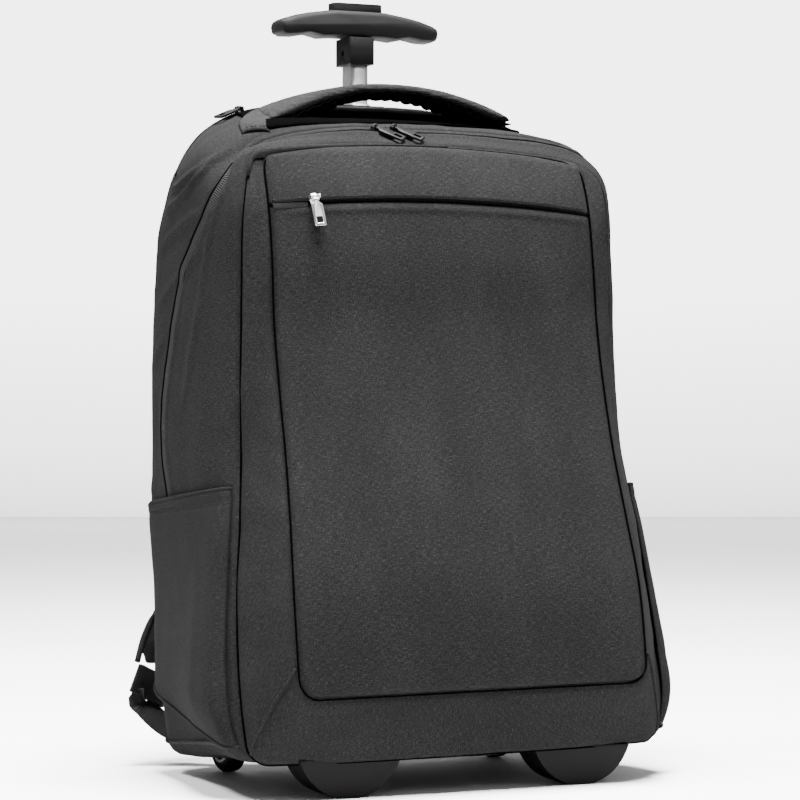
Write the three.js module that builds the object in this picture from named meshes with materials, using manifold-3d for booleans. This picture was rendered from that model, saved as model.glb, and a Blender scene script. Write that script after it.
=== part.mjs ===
// A wheeled backpack: a wedge-shaped fabric bag with a telescopic T-handle, two rear wheels,
// two front feet, side pockets, a haul handle, a padded back and shoulder straps.
// Millimetres, +Z up, the front faces -Y, the floor is z = 0.

import * as THREE from 'three';
import { mergeVertices } from 'three/addons/utils/BufferGeometryUtils.js';
import Module from 'manifold-3d';

const wasm = await Module();
wasm.setup();

// Driving dimensions

// Bag body
const floorGap = 27;
const rearFloorGap = 11;
const bagHeight = 461;
const bagHalfWidth = 162;
const bagDepth = 228;
const bagBack = 203;
const backCornerRadius = 35;
const bottomCornerRadius = 15;
const bottomBackRadius = 12;
const fabricWall = 3;
const pieceGap = 0.3;
const shoulderHeight = 352;
const frontTopDrop = 36.5;
const frontCrown = 8;
const rearCrown = 3;
const sideBulge = 5;
const bottomFrontLead = 18;

// Front panel and the band over its zip
const panelWall = 3;
const panelBottom = 46;
const panelCornerRadius = 14;
const panelTopDrop = 1.5;
const panelBulge = 12;
const frontZipBelowTop = 36;
const frontZipGap = 5;
const bandLift = 2.4;
const bandLip = 4;
const lipWall = 1.5;

// Zips
const mainZipWidth = 9;
const rearZipWidth = 7;
const rearZipForward = 43;
const rearZipDown = 58;
const tapeWall = 1.8;
const tapeRecess = 0.5;
const sliderRadius = 4.3;
const sliderHeight = 2.6;
const pinRadius = 0.7;
const pinClearance = 0.4;
const pinLift = 2.3;
const eyeWall = 0.8;
const earWall = 1.3;
const earReach = 1.3;
const earGap = 4.6;
const pullNeck = 3.8;
const pullWidth = 8.5;
const frontPullLength = 21.5;
const topPullLength = 24;
const frontPullWall = 1.3;
const topPullWall = 1.6;
const pullShoulder = 4;
const frontPullTip = 4;
const topPullTip = 6;
const tapeFront = 0.4;
const frontSliderAcross = -0.75;
const mainSliderSide = 22;
const mainSliderSpacing = 15;
const rearSliderSide = 103;

// Side pockets
const pocketWall = 2;
const pocketBulge = 7;
const pocketStandOff = 0.5;
const pocketHemFront = 183;
const pocketHemBack = 162;
const pocketFootFront = 5;
const pocketFootBack = 43;
const pocketEnd = 1.6;

// Haul handle
const haulHalfSpan = 97;
const haulForward = 71;
const haulWidth = 30;
const haulThickness = 11;
const haulEndThickness = 3;
const haulRise = 13.5;
const haulArch = 24;

// Back padding and shoulder straps
const backPadWidth = 216;
const backPadHeight = 366;
const backPadBottom = 36;
const backPadThickness = 9;
const backPadRadius = 34;
const strapWidth = 62;
const strapThickness = 11;
const webbingWidth = 25;
const webbingThickness = 2;
const adjusterWidth = 33;
const adjusterHeight = 22;
const adjusterThickness = 5;
const anchorWidth = 30;
const anchorHeight = 22;
const anchorThickness = 3;
const anchorHalfSpacing = 112;
const anchorLift = 12;
const webbingSag = 6;

// Front feet
const footRadius = 39.5;
const footHalfSpacing = 89;
const footForward = 195;
const footThickness = 28;
const footFlat = 12;

// Rear wheels
const wheelRadius = 24;
const wheelWidth = 14;
const wheelHalfSpacing = 108;
const wheelForward = 33;
const tyreThickness = 5.5;
const axleRadius = 3;
const axleClearance = 0.4;
const wheelSideGap = 2.7;
const wheelTopGap = 2;
const housingWall = 2;
const housingLift = 5;
const hubRimWall = 3;
const hubBossWall = 3;
const hubRecess = 4;

// Telescopic handle: the section of the inner tube, then the walls and running gaps round it
const tubeForward = 17;
const tubeWidth = 15;
const tubeDepth = 19;
const tubeRadius = 4;
const tubeWall = 1.3;
const tubeClearance = 0.4;
const housingTubeWall = 1.5;
const tubeShown = 31;
const midShown = 1.5;
const midFoot = 6;
const innerFoot = 20;
const housingBelowTop = 6;
const portRise = 1;
const portSide = 9;
const portEdge = 2.4;
const collarWidth = 20;
const collarDepth = 28;
const collarHeight = 20;
const collarRadius = 2;
const collarBoreRoof = 2;
const gripHalfLength = 65;
const gripDepth = 25;
const gripHeight = 20;
const buttonHalfLength = 20;
const buttonWidth = 15;
const buttonLift = 5.5;
const buttonTravel = 3;
const buttonSeat = 4;
const screwRadius = 2.2;
const screwDepth = 2;
const gripRounding = 6;

// Mesh fineness
const sideRows = 7;
const shoulderRows = 8;
const cornerRows = 3;

// The bag's outline from the side and from the front, bottom row first. height is a share of bagHeight,
// the half widths are shares of bagHalfWidth, the forward reaches, from the back plane, are shares of
// bagDepth, and roll is a share of sideBulge.
const outlineRows = [
  { height: 0.0, seamHalf: 0.815, seamForward: 1.0, frontHalf: 0.975, frontForward: 0.85, backHalf: 0.965, roll: 1.5 },
  { height: 0.06, seamHalf: 0.815, seamForward: 1.0, frontHalf: 0.99, frontForward: 0.83, backHalf: 0.985, roll: 2.3 },
  { height: 0.14, seamHalf: 0.82, seamForward: 0.978, frontHalf: 0.994, frontForward: 0.798, backHalf: 0.99, roll: 1.9 },
  { height: 0.245, seamHalf: 0.818, seamForward: 0.939, frontHalf: 0.98, frontForward: 0.763, backHalf: 1.0, roll: 1.2 },
  { height: 0.345, seamHalf: 0.8, seamForward: 0.882, frontHalf: 0.95, frontForward: 0.732, backHalf: 1.018, roll: 1 },
  { height: 0.445, seamHalf: 0.785, seamForward: 0.82, frontHalf: 0.917, frontForward: 0.684, backHalf: 1.022, roll: 1 },
  { height: 0.545, seamHalf: 0.78, seamForward: 0.763, frontHalf: 0.904, frontForward: 0.658, backHalf: 1.022, roll: 1 },
  { height: 0.645, seamHalf: 0.778, seamForward: 0.719, frontHalf: 0.895, frontForward: 0.649, backHalf: 1.018, roll: 1 },
  { height: 0.745, seamHalf: 0.775, seamForward: 0.697, frontHalf: 0.889, frontForward: 0.645, backHalf: 1.0, roll: 1 },
  { height: 0.825, seamHalf: 0.775, seamForward: 0.667, frontHalf: 0.886, frontForward: 0.64, backHalf: 0.99, roll: 1 },
  { height: 0.915, seamHalf: 0.772, seamForward: 0.6, frontHalf: 0.883, frontForward: 0.585, backHalf: 0.98, roll: 1 },
];

// How the top rises from its front seam to its crest: shares of the way back and of frontTopDrop.
const topRows = [
  { back: 0, rise: 0 },
  { back: 0.25, rise: 0.41 },
  { back: 0.45, rise: 0.53 },
  { back: 0.65, rise: 0.63 },
  { back: 0.85, rise: 0.86 },
  { back: 1, rise: 1 },
];

// How far the sides stand out behind the front corner, as a share of sideBulge: a soft roll close to the seam.
const sideRoll = [
  { station: 0, share: 0 },
  { station: 0.08, share: 1 },
  { station: 0.3, share: 0.9 },
  { station: 0.55, share: 0.5 },
  { station: 0.78, share: 0.2 },
  { station: 1, share: 0 },
];

// How far a side pocket stands out: from its front edge to the back, and from its foot to its hem.
const pocketRound = [
  { round: 0.03, share: 0.3 },
  { round: 0.12, share: 0.85 },
  { round: 0.25, share: 1 },
  { round: 0.5, share: 0.8 },
  { round: 0.8, share: 0.35 },
  { round: 1, share: 0.12 },
  { round: 1.3, share: 0 },
];
const pocketRise = [
  { row: 0, share: 0 },
  { row: 0.12, share: 0.75 },
  { row: 0.3, share: 1 },
  { row: 0.5, share: 0.85 },
  { row: 0.75, share: 0.55 },
  { row: 0.93, share: 0.28 },
  { row: 1, share: 0.15 },
];

// The main zip's route over the top and down both sides, from its lower end: shares of bagHeight and bagDepth.
const mainZipRows = [
  { height: 0.37, forward: 0.265 },
  { height: 0.434, forward: 0.222 },
  { height: 0.49, forward: 0.21 },
  { height: 0.55, forward: 0.224 },
  { height: 0.635, forward: 0.285 },
  { height: 0.702, forward: 0.34 },
  { height: 0.757, forward: 0.399 },
  { height: 0.806, forward: 0.457 },
  { height: 0.85, forward: 0.496 },
  { height: 0.92, forward: 0.503 },
  { height: 1.03, forward: 0.497 },
];

// The T-grip's outline on its right half: along is a share of gripHalfLength; top and under are shares of
// gripHeight above and below the grip's underside. The waves below are the finger grooves.
const gripRows = [
  { along: 0.3, top: 1.0, under: 0 },
  { along: 0.45, top: 0.93, under: -0.05 },
  { along: 0.62, top: 0.85, under: 0.07 },
  { along: 0.78, top: 0.74, under: -0.03 },
  { along: 0.92, top: 0.6, under: -0.04 },
];

// The left shoulder strap's middle line, top first: side and down are shares of bagHalfWidth and bagHeight,
// behind is millimetres behind the back padding as a share of strapReach.
const strapReach = 40;
const strapRows = [
  { side: 0.3, height: 0.86, behind: 0.03, width: 1 },
  { side: 0.31, height: 0.84, behind: 0.35, width: 1 },
  { side: 0.38, height: 0.72, behind: 0.85, width: 1 },
  { side: 0.48, height: 0.55, behind: 1.0, width: 1 },
  { side: 0.5, height: 0.37, behind: 0.95, width: 0.95 },
  { side: 0.62, height: 0.22, behind: 0.75, width: 0.82 },
  { side: 0.79, height: 0.14, behind: 0.6, width: 0.7 },
  { side: 0.855, height: 0.09, behind: 0.5, width: 0.66 },
];

// Derived sizes

const frontPullDown = new THREE.Vector3(0.1, 0, -1);

const bagTop = floorGap + bagHeight;
const frontTop = bagTop - frontTopDrop;
const shoulderStart = floorGap + shoulderHeight;
const backCornerStart = bagBack - backCornerRadius;
const frontZipSpan = frontTop - panelTopDrop - frontCrown - floorGap - panelBottom;
const tubeY = bagBack - tubeForward;
const wheelY = bagBack - wheelForward;
const haulY = bagBack - haulForward;
const footY = bagBack - footForward;

// Interpolates a column of a table between its rows, by the value of its key column.
function readTable(rows, key, column, value) {
  if (value <= rows[0][key]) return rows[0][column];
  for (let i = 1; i < rows.length; i += 1) {
    const low = rows[i - 1];
    const high = rows[i];
    if (value <= high[key]) {
      const share = (value - low[key]) / (high[key] - low[key]);
      return low[column] + share * (high[column] - low[column]);
    }
  }
  return rows[rows.length - 1][column];
}

const mix = (a, b, share) => a + (b - a) * share;
const heightShare = (z) => (z - floorGap) / bagHeight;
const halfWidthColumn = (column, z) => bagHalfWidth * readTable(outlineRows, 'height', column, heightShare(z));
const forwardColumn = (column, z) => bagBack - bagDepth * readTable(outlineRows, 'height', column, heightShare(z));

// Meshes and solids

function signedVolume(points, faces) {
  let sum = 0;
  for (const [a, b, c] of faces) {
    sum += points[a].dot(new THREE.Vector3().crossVectors(points[b], points[c]));
  }
  return sum / 6;
}

// A closed mesh from points and triangles, turned to face out.
function closedGeometry(points, faces) {
  const outward = signedVolume(points, faces) > 0 ? faces : faces.map(([a, b, c]) => [a, c, b]);
  const geometry = new THREE.BufferGeometry();
  geometry.setAttribute('position', new THREE.Float32BufferAttribute(points.flatMap((p) => [p.x, p.y, p.z]), 3));
  geometry.setIndex(outward.flat());
  return geometry;
}

function solid(geometry) {
  const bare = geometry.clone();
  bare.deleteAttribute('normal');
  bare.deleteAttribute('uv');
  const merged = mergeVertices(bare, 1e-4);
  const mesh = new wasm.Mesh({
    numProp: 3,
    vertProperties: new Float32Array(merged.attributes.position.array),
    triVerts: new Uint32Array(merged.index.array),
  });
  return new wasm.Manifold(mesh);
}

function geometryOf(manifold) {
  const mesh = manifold.getMesh();
  const geometry = new THREE.BufferGeometry();
  geometry.setAttribute('position', new THREE.Float32BufferAttribute(Array.from(mesh.vertProperties), 3));
  geometry.setIndex(Array.from(mesh.triVerts));
  return geometry;
}

// Rings of equal length joined into a closed body, with a fan at each end or, for a symmetric outline that
// starts at its bottom middle, with rungs from side to side.
function loft(rings, rungs = false) {
  const count = rings[0].length;
  const faces = [];
  for (let r = 0; r + 1 < rings.length; r += 1) {
    for (let i = 0; i < count; i += 1) {
      const a = r * count + i;
      const b = r * count + ((i + 1) % count);
      faces.push([a, b, b + count], [a, b + count, a + count]);
    }
  }
  const last = (rings.length - 1) * count;
  for (const [start, flip] of [[0, true], [last, false]]) {
    const cap = [];
    if (rungs) {
      for (let i = 0; i < count / 2; i += 1) {
        const left = (count - i) % count;
        if (i > 0) cap.push([i, i + 1, left]);
        if (i + 1 < count / 2) cap.push([i + 1, left - 1 < 0 ? count - 1 : left - 1, left]);
      }
    } else {
      for (let i = 1; i + 1 < count; i += 1) cap.push([0, i, i + 1]);
    }
    for (const [a, b, c] of cap) {
      faces.push(flip ? [start + a, start + c, start + b] : [start + a, start + b, start + c]);
    }
  }
  return closedGeometry(rings.flat(), faces);
}

// A wall between two grids of points of the same size.
function wallBetween(outer, inner) {
  const rows = outer.length;
  const columns = outer[0].length;
  const offset = rows * columns;
  const faces = [];
  const at = (r, c) => r * columns + c;
  for (let r = 0; r + 1 < rows; r += 1) {
    for (let c = 0; c + 1 < columns; c += 1) {
      const quad = [at(r, c), at(r, c + 1), at(r + 1, c + 1), at(r + 1, c)];
      faces.push([quad[0], quad[1], quad[2]], [quad[0], quad[2], quad[3]]);
      faces.push([offset + quad[0], offset + quad[2], offset + quad[1]]);
      faces.push([offset + quad[0], offset + quad[3], offset + quad[2]]);
    }
  }
  const rim = [];
  for (let c = 0; c + 1 < columns; c += 1) rim.push(at(0, c));
  for (let r = 0; r + 1 < rows; r += 1) rim.push(at(r, columns - 1));
  for (let c = columns - 1; c > 0; c -= 1) rim.push(at(rows - 1, c));
  for (let r = rows - 1; r > 0; r -= 1) rim.push(at(r, 0));
  for (let i = 0; i < rim.length; i += 1) {
    const a = rim[i];
    const b = rim[(i + 1) % rim.length];
    faces.push([a, offset + b, b], [a, offset + a, offset + b]);
  }
  return closedGeometry([...outer.flat(), ...inner.flat()], faces);
}

function roundedRectangle(width, height, radius) {
  const shape = new THREE.Shape();
  const x = width / 2;
  const y = height / 2;
  shape.moveTo(-x + radius, -y);
  shape.lineTo(x - radius, -y);
  shape.absarc(x - radius, -y + radius, radius, -Math.PI / 2, 0, false);
  shape.lineTo(x, y - radius);
  shape.absarc(x - radius, y - radius, radius, 0, Math.PI / 2, false);
  shape.lineTo(-x + radius, y);
  shape.absarc(-x + radius, y - radius, radius, Math.PI / 2, Math.PI, false);
  shape.lineTo(-x, -y + radius);
  shape.absarc(-x + radius, -y + radius, radius, Math.PI, Math.PI * 1.5, false);
  return shape;
}

// A shape drawn in X and Y, raised along Z from low to high.
function prism(shape, low, high, curveSegments = 4) {
  const geometry = new THREE.ExtrudeGeometry(shape, { depth: high - low, bevelEnabled: false, curveSegments });
  return geometry.translate(0, 0, low);
}

// A shape drawn in X and Z, with its thickness along Y about the middle plane y.
function uprightPrism(shape, y, thickness, curveSegments = 6) {
  const geometry = new THREE.ExtrudeGeometry(shape, { depth: thickness, bevelEnabled: false, curveSegments });
  return geometry.translate(0, 0, -thickness / 2).rotateX(Math.PI / 2).translate(0, y, 0);
}

function block(low, high) {
  const size = high.map((value, i) => value - low[i]);
  return new THREE.BoxGeometry(...size).translate(...low.map((value, i) => value + size[i] / 2));
}

// A cylinder along X between two places.
function rodAlongX(radius, from, to, y, z, sides = 20) {
  const rod = new THREE.CylinderGeometry(radius, radius, to - from, sides);
  return rod.rotateZ(Math.PI / 2).translate((from + to) / 2, y, z);
}

// A flat or padded strip: sections of one width and thickness at each place of a middle line. A sheared strip
// keeps its across directions as they are given.
function strip(places, sides = 8, sheared = false) {
  const middle = places.map((place) => place.at);
  const rings = places.map((place, i) => {
    const ahead = middle[Math.min(i + 1, middle.length - 1)];
    const behind = middle[Math.max(i - 1, 0)];
    const along = new THREE.Vector3().subVectors(ahead, behind).normalize();
    const lean = sheared ? 0 : place.across.dot(along);
    const across = place.across.clone().addScaledVector(along, -lean).normalize();
    const normal = new THREE.Vector3().crossVectors(along, across).normalize();
    const ring = [];
    for (let s = 0; s < sides; s += 1) {
      const angle = (2 * Math.PI * (s + 0.5)) / sides;
      const wide = Math.sign(Math.cos(angle)) * Math.abs(Math.cos(angle)) ** 0.35;
      const thick = Math.sign(Math.sin(angle)) * Math.abs(Math.sin(angle)) ** 0.7;
      const point = place.at.clone();
      point.addScaledVector(across, (wide * place.width) / 2);
      ring.push(point.addScaledVector(normal, (thick * place.thickness) / 2));
    }
    return ring;
  });
  return loft(rings);
}

// The bag's body. A station is a place from front to back: -1 is the seam round the front panel, 0 the front
// corner, 1 the start of the back corner and 2 the back plane.

function cornerTurn(station) {
  const angle = (Math.max(station - 1, 0) * Math.PI) / 2;
  return { out: 1 - Math.cos(angle), back: Math.sin(angle) };
}

function bodyHalfWidth(station, z, inset) {
  if (station < 0) return halfWidthColumn('seamHalf', z) - inset;
  const spread = 1 - (1 - Math.min(station, 1)) ** 2;
  const straight = mix(halfWidthColumn('frontHalf', z), halfWidthColumn('backHalf', z), spread);
  const roll = sideBulge * readTable(outlineRows, 'height', 'roll', heightShare(z));
  const half = straight + roll * readTable(sideRoll, 'station', 'share', station);
  return half - inset - (backCornerRadius - inset) * cornerTurn(station).out;
}

function bodyTop(station, inset) {
  if (station < 0) return frontTop - panelTopDrop - inset;
  const rise = readTable(topRows, 'back', 'rise', Math.min(station, 1));
  return frontTop + frontTopDrop * rise - inset - (backCornerRadius - inset) * cornerTurn(station).out;
}

function bodyBottom(station, inset) {
  if (station < 0) return floorGap + panelBottom + inset;
  const low = mix(floorGap, rearFloorGap, Math.min(station, 1));
  return low + inset + (bottomBackRadius - inset) * cornerTurn(station).out;
}

const crownAt = (station) => mix(frontCrown, rearCrown, THREE.MathUtils.clamp(station, 0, 1));

function bodyY(station, z, across, inset) {
  if (station < 0) return forwardColumn('seamForward', z) + panelWall + pieceGap + inset;
  const underneath = z < bodyBottom(station, inset) + bottomCornerRadius ? 1 : 0;
  const lead = underneath * bottomFrontLead * (1 - Math.min(Math.abs(across), 1) ** 4);
  const front = forwardColumn('frontForward', z) - lead + 0.4 * inset;
  const straight = mix(front, backCornerStart, Math.min(station, 1));
  return straight + (backCornerRadius - inset) * cornerTurn(station).back;
}

// The shoulder's curve: the exponents of its across and up shares, square at the front and rounder at the back.
function shoulderCurve(station) {
  if (station < 0) return { across: 14, up: 14 };
  const share = Math.min(station, 1);
  return { across: mix(8, 4.5, share), up: mix(8, 1.75, share ** 0.7) };
}

// One side of the outline at a station, from the bottom middle to the top middle.
function halfOutline(station, inset) {
  const low = bodyBottom(station, inset);
  const high = bodyTop(station, inset);
  const baseRadius = station < 0 ? panelCornerRadius : bottomCornerRadius;
  const radius = Math.max(baseRadius - inset - baseRadius * 0.4 * cornerTurn(station).out, 3);
  const halfLow = bodyHalfWidth(station, low + radius, inset);
  const flat = [];
  for (const share of [0, 0.5, 1]) flat.push([share * (halfLow - radius), low]);
  for (let i = 1; i < 4; i += 1) {
    const angle = (i * Math.PI) / 8;
    flat.push([halfLow - radius + radius * Math.sin(angle), low + radius - radius * Math.cos(angle)]);
  }
  for (let i = 0; i < sideRows; i += 1) {
    const z = mix(low + radius, shoulderStart, i / (sideRows - 1));
    flat.push([bodyHalfWidth(station, z, inset), z]);
  }
  const half = bodyHalfWidth(station, shoulderStart, inset);
  const curve = shoulderCurve(station);
  const crown = crownAt(station);
  for (let i = 1; i <= shoulderRows; i += 1) {
    const angle = (i / shoulderRows) * (Math.PI / 2);
    const across = i === shoulderRows ? 0 : Math.cos(angle) ** (2 / curve.across);
    const up = Math.sin(angle) ** (2 / curve.up);
    flat.push([half * across, shoulderStart + (high - shoulderStart) * up - crown * across ** 2 * up]);
  }
  return flat.map(([x, z]) => new THREE.Vector3(x, bodyY(station, z, x / halfLow, inset), z));
}

function wholeOutline(station, inset) {
  const right = halfOutline(station, inset);
  const left = right.slice(1, -1).reverse().map((p) => new THREE.Vector3(-p.x, p.y, p.z));
  return [...right, ...left];
}

const stations = [-1, ...sideRoll.map((row) => row.station)];
for (let i = 1; i <= cornerRows; i += 1) stations.push(1 + i / cornerRows);

const bodyCache = new Map();
function body(inset) {
  if (!bodyCache.has(inset)) bodyCache.set(inset, solid(loft(stations.map((s) => wholeOutline(s, inset)), true)));
  return bodyCache.get(inset);
}

// The height of the bag's top surface above a place.
function topSurface(x, y) {
  const front = forwardColumn('frontForward', frontTop);
  const station = (y - front) / (backCornerStart - front);
  const half = bodyHalfWidth(station, shoulderStart, 0);
  const across = Math.min(Math.abs(x) / half, 1);
  const curve = shoulderCurve(station);
  const up = (1 - across ** curve.across) ** (1 / curve.up);
  return shoulderStart + (bodyTop(station, 0) - shoulderStart) * up - crownAt(station) * across ** 2 * up;
}

// A thin sheet through the bag along the zip's route, seen from the side.
function mainZipSheet(width, endTrim) {
  const places = mainZipRows.map((row) => {
    return new THREE.Vector2(bagBack - bagDepth * row.forward, floorGap + bagHeight * row.height);
  });
  const route = new THREE.SplineCurve(places);
  const steps = 18;
  const front = [];
  const back = [];
  for (let i = 0; i <= steps; i += 1) {
    const place = route.getPoint(i / steps);
    const along = route.getTangent(i / steps);
    if (i === 0) place.addScaledVector(along, endTrim);
    front.push(new THREE.Vector2(place.x - (along.y * width) / 2, place.y + (along.x * width) / 2));
    back.push(new THREE.Vector2(place.x + (along.y * width) / 2, place.y - (along.x * width) / 2));
  }
  const shape = new THREE.Shape([...front, ...back.reverse()]);
  const reach = bagHalfWidth * 1.2;
  const geometry = new THREE.ExtrudeGeometry(shape, { depth: 2 * reach, bevelEnabled: false });
  const turn = new THREE.Matrix4().makeBasis(
    new THREE.Vector3(0, 1, 0),
    new THREE.Vector3(0, 0, 1),
    new THREE.Vector3(1, 0, 0),
  );
  return solid(geometry.applyMatrix4(turn).translate(-reach, 0, 0));
}

function rearZipSheet(width, endTrim) {
  const y = bagBack - rearZipForward;
  const reach = bagHalfWidth * 1.2;
  const low = bagTop - rearZipDown + endTrim;
  return solid(block([-reach, y - width / 2, low], [reach, y + width / 2, bagTop + 20]));
}

// Where each wheel's well is cut into the bottom, grown by a margin.
function wheelWell(side, margin) {
  const halfX = wheelWidth / 2 + wheelSideGap + housingWall + pieceGap + margin;
  const halfY = wheelRadius + wheelSideGap + housingWall + pieceGap + margin;
  const x = side * wheelHalfSpacing;
  const high = 2 * wheelRadius + wheelTopGap + housingWall + pieceGap + margin;
  return solid(block([x - halfX, wheelY - halfY, -1], [x + halfX, wheelY + halfY, high]));
}

// Tube sections of the telescopic handle, each grown from the inner tube.
function tubeShape(growth) {
  return roundedRectangle(tubeWidth + 2 * growth, tubeDepth + 2 * growth, tubeRadius + growth);
}

const midInside = tubeClearance;
const midOutside = midInside + tubeWall;
const housingInside = midOutside + tubeClearance;
const housingOutside = housingInside + housingTubeWall;

function tube(outside, inside, low, high) {
  const outer = solid(prism(tubeShape(outside), low, high, 3));
  const inner = solid(prism(tubeShape(inside), low - 1, high + 1, 3));
  return geometryOf(outer.subtract(inner).translate(0, tubeY, 0));
}

// Fabric pieces

function bagShell() {
  let hollow = body(fabricWall);
  for (const side of [-1, 1]) hollow = hollow.subtract(wheelWell(side, fabricWall));
  let shell = body(0).subtract(hollow);
  for (const side of [-1, 1]) shell = shell.subtract(wheelWell(side, 0));
  const port = prism(tubeShape(housingOutside + pieceGap), shoulderStart, bagTop + 20, 3);
  shell = shell.subtract(solid(port).translate(0, tubeY, 0));
  shell = shell.subtract(mainZipSheet(mainZipWidth, 0)).subtract(rearZipSheet(rearZipWidth, 0));
  return geometryOf(shell);
}

function zipSkin(sheet) {
  const skin = body(tapeRecess).subtract(body(tapeRecess + tapeWall));
  return geometryOf(skin.intersect(sheet));
}

// The front panel's surface: across runs from -1 to 1, up from 0 at its bottom seam to 1 at the top seam, and
// out is the distance in front of the seams.
function panelPoint(across, up, out) {
  const low = floorGap + panelBottom;
  const edge = mix(low, low + frontZipSpan, up);
  const rise = Math.min((edge - low) / panelCornerRadius, 1);
  const corner = panelCornerRadius * (1 - Math.sqrt(1 - (1 - rise) ** 2));
  const half = halfWidthColumn('seamHalf', edge) - corner;
  const crowned = edge + frontCrown * (1 - across ** 2) * up ** 2;
  const swell = (1 - across ** 4) * (1 - (2 * up - 1) ** 4) * mix(1.1, 0.8, up);
  return new THREE.Vector3(half * across, forwardColumn('seamForward', edge) - out - panelBulge * swell, crowned);
}

function panelWallBetween(ups, innerOut, outerOut, columns = 10) {
  const grid = (out) => ups.map((up) => {
    const row = [];
    for (let c = 0; c <= columns; c += 1) {
      const across = (2 * c) / columns - 1;
      row.push(panelPoint(across, up, out(across, up)));
    }
    return row;
  });
  return wallBetween(grid(outerOut), grid(innerOut));
}

const zipUp = 1 - frontZipBelowTop / frontZipSpan;
const zipHalfUp = frontZipGap / 2 / frontZipSpan;
const gapUp = pieceGap / frontZipSpan;
const lipUp = bandLip / frontZipSpan;

function frontPanel() {
  const ups = [0, 0.012, 0.037, 0.08];
  const last = zipUp - zipHalfUp - gapUp;
  for (let i = 1; i <= 9; i += 1) ups.push(mix(0.08, last, i / 9));
  return panelWallBetween(ups, () => -panelWall, () => 0);
}

function frontZip() {
  const ups = [zipUp - zipHalfUp, zipUp + zipHalfUp];
  return panelWallBetween(ups, () => tapeFront - panelWall, () => -tapeFront);
}

function bandOut(across, up) {
  const start = zipUp + zipHalfUp;
  const share = Math.max((up - start) / (1 - start), 0);
  return bandLift * (1 - share ** 2) * (1 - across ** 8) + 0.2;
}

function frontBand() {
  const start = zipUp + zipHalfUp + gapUp;
  const ups = [0, 0.35, 0.7, 1].map((share) => mix(start, 1, share));
  const main = solid(panelWallBetween(ups, () => -panelWall, bandOut));
  const lipUps = [start - lipUp, start + 2 * gapUp];
  const lipBack = (across, up) => Math.max(bandOut(across, up) - lipWall, pieceGap);
  const lipFront = (across, up) => Math.max(bandOut(across, up), 2 * pieceGap);
  const lip = solid(panelWallBetween(lipUps, lipBack, lipFront));
  const room = sliderRadius + pieceGap;
  const { place, normal } = frontZipFrame();
  const notch = block([-room, -room * 3, -room], [room, 0, room]);
  notch.applyMatrix4(setOn(place, normal, frontPullDown));
  return geometryOf(main.add(lip).subtract(body(-pieceGap)).subtract(solid(notch)));
}

// A place on the bag's side wall: round runs from 0 at the front corner to 2 at the back plane.
function sidePoint(side, round, z, out) {
  const start = bodyBottom(round, 0) + bottomCornerRadius;
  const under = Math.max((start - z) / bottomCornerRadius, 0);
  const half = bodyHalfWidth(round, z, -out) - bottomCornerRadius * (1 - Math.sqrt(1 - under ** 2));
  return new THREE.Vector3(side * half, bodyY(round, z, 1, -out), z);
}

function sidePocket(side) {
  const rounds = [...pocketRound.map((place) => place.round), pocketEnd];
  const grid = (wall) => pocketRise.map(({ row, share: high }) => rounds.map((round) => {
    const share = round / pocketEnd;
    const foot = floorGap + mix(pocketFootFront, pocketFootBack, share);
    const hem = floorGap + mix(pocketHemFront, pocketHemBack, share);
    const swell = pocketBulge * high * readTable(pocketRound, 'round', 'share', round);
    return sidePoint(side, round, mix(foot, hem, row), pocketStandOff + swell + wall);
  }));
  return geometryOf(solid(wallBetween(grid(pocketWall), grid(0))).subtract(body(-pieceGap)));
}

function haulHandle() {
  const places = [];
  const steps = 16;
  for (let i = 0; i <= steps; i += 1) {
    const share = (2 * i) / steps - 1;
    const turned = Math.sign(share) * Math.abs(share) ** 0.8;
    const x = turned * haulHalfSpan;
    const end = Math.min((1 - Math.abs(turned)) * 6, 1);
    const thickness = mix(haulEndThickness, haulThickness, end);
    const top = bagTop + haulRise - haulArch * turned ** 2 - thickness / 2;
    const seat = topSurface(x, haulY) + thickness / 2 + pieceGap;
    places.push({
      at: new THREE.Vector3(x, haulY, i % steps === 0 ? seat : Math.max(top, seat)),
      across: new THREE.Vector3(0, 1, 0),
      width: haulWidth,
      thickness,
    });
  }
  return geometryOf(solid(strip(places)).subtract(body(-pieceGap)));
}

function backPad() {
  const shape = roundedRectangle(backPadWidth, backPadHeight, backPadRadius);
  const middle = bagBack + pieceGap + backPadThickness / 2;
  const z = floorGap + backPadBottom + backPadHeight / 2;
  return uprightPrism(shape, middle, backPadThickness).translate(0, 0, z);
}

const padFace = bagBack + pieceGap + backPadThickness;

function strapPlace(side, row) {
  const y = padFace + pieceGap + strapThickness / 2 + strapReach * row.behind;
  return new THREE.Vector3(side * bagHalfWidth * row.side, y, floorGap + bagHeight * row.height);
}

// The across direction of a strap: level at the top, turned towards the side lower down.
function strapAcross(side, share) {
  return new THREE.Vector3(1, side * -0.25 * share, side * 0.45 * share).normalize();
}

function shoulderStrap(side) {
  const route = new THREE.CatmullRomCurve3(strapRows.map((row) => strapPlace(side, row)));
  const steps = 18;
  const places = [];
  for (let i = 0; i <= steps; i += 1) {
    const share = i / steps;
    const row = share * (strapRows.length - 1);
    const low = strapRows[Math.floor(row)];
    const high = strapRows[Math.min(Math.floor(row) + 1, strapRows.length - 1)];
    const end = Math.min(share * 12, (1 - share) * 12, 1);
    places.push({
      at: route.getPoint(share),
      across: strapAcross(side, share),
      width: strapWidth * mix(low.width, high.width, row - Math.floor(row)),
      thickness: strapThickness * mix(0.6, 1, end),
    });
  }
  return strip(places);
}

// The strap's lower end carries the adjuster, and the webbing runs from there to the tab on the bag.
const strapFoot = strapRows[strapRows.length - 1];
const strapAhead = strapRows[strapRows.length - 2];

function adjusterPlace(side) {
  const end = strapPlace(side, strapFoot);
  const along = end.clone().sub(strapPlace(side, strapAhead)).normalize();
  return { at: end.addScaledVector(along, adjusterHeight / 2 + 2 * pieceGap), along };
}

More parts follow.
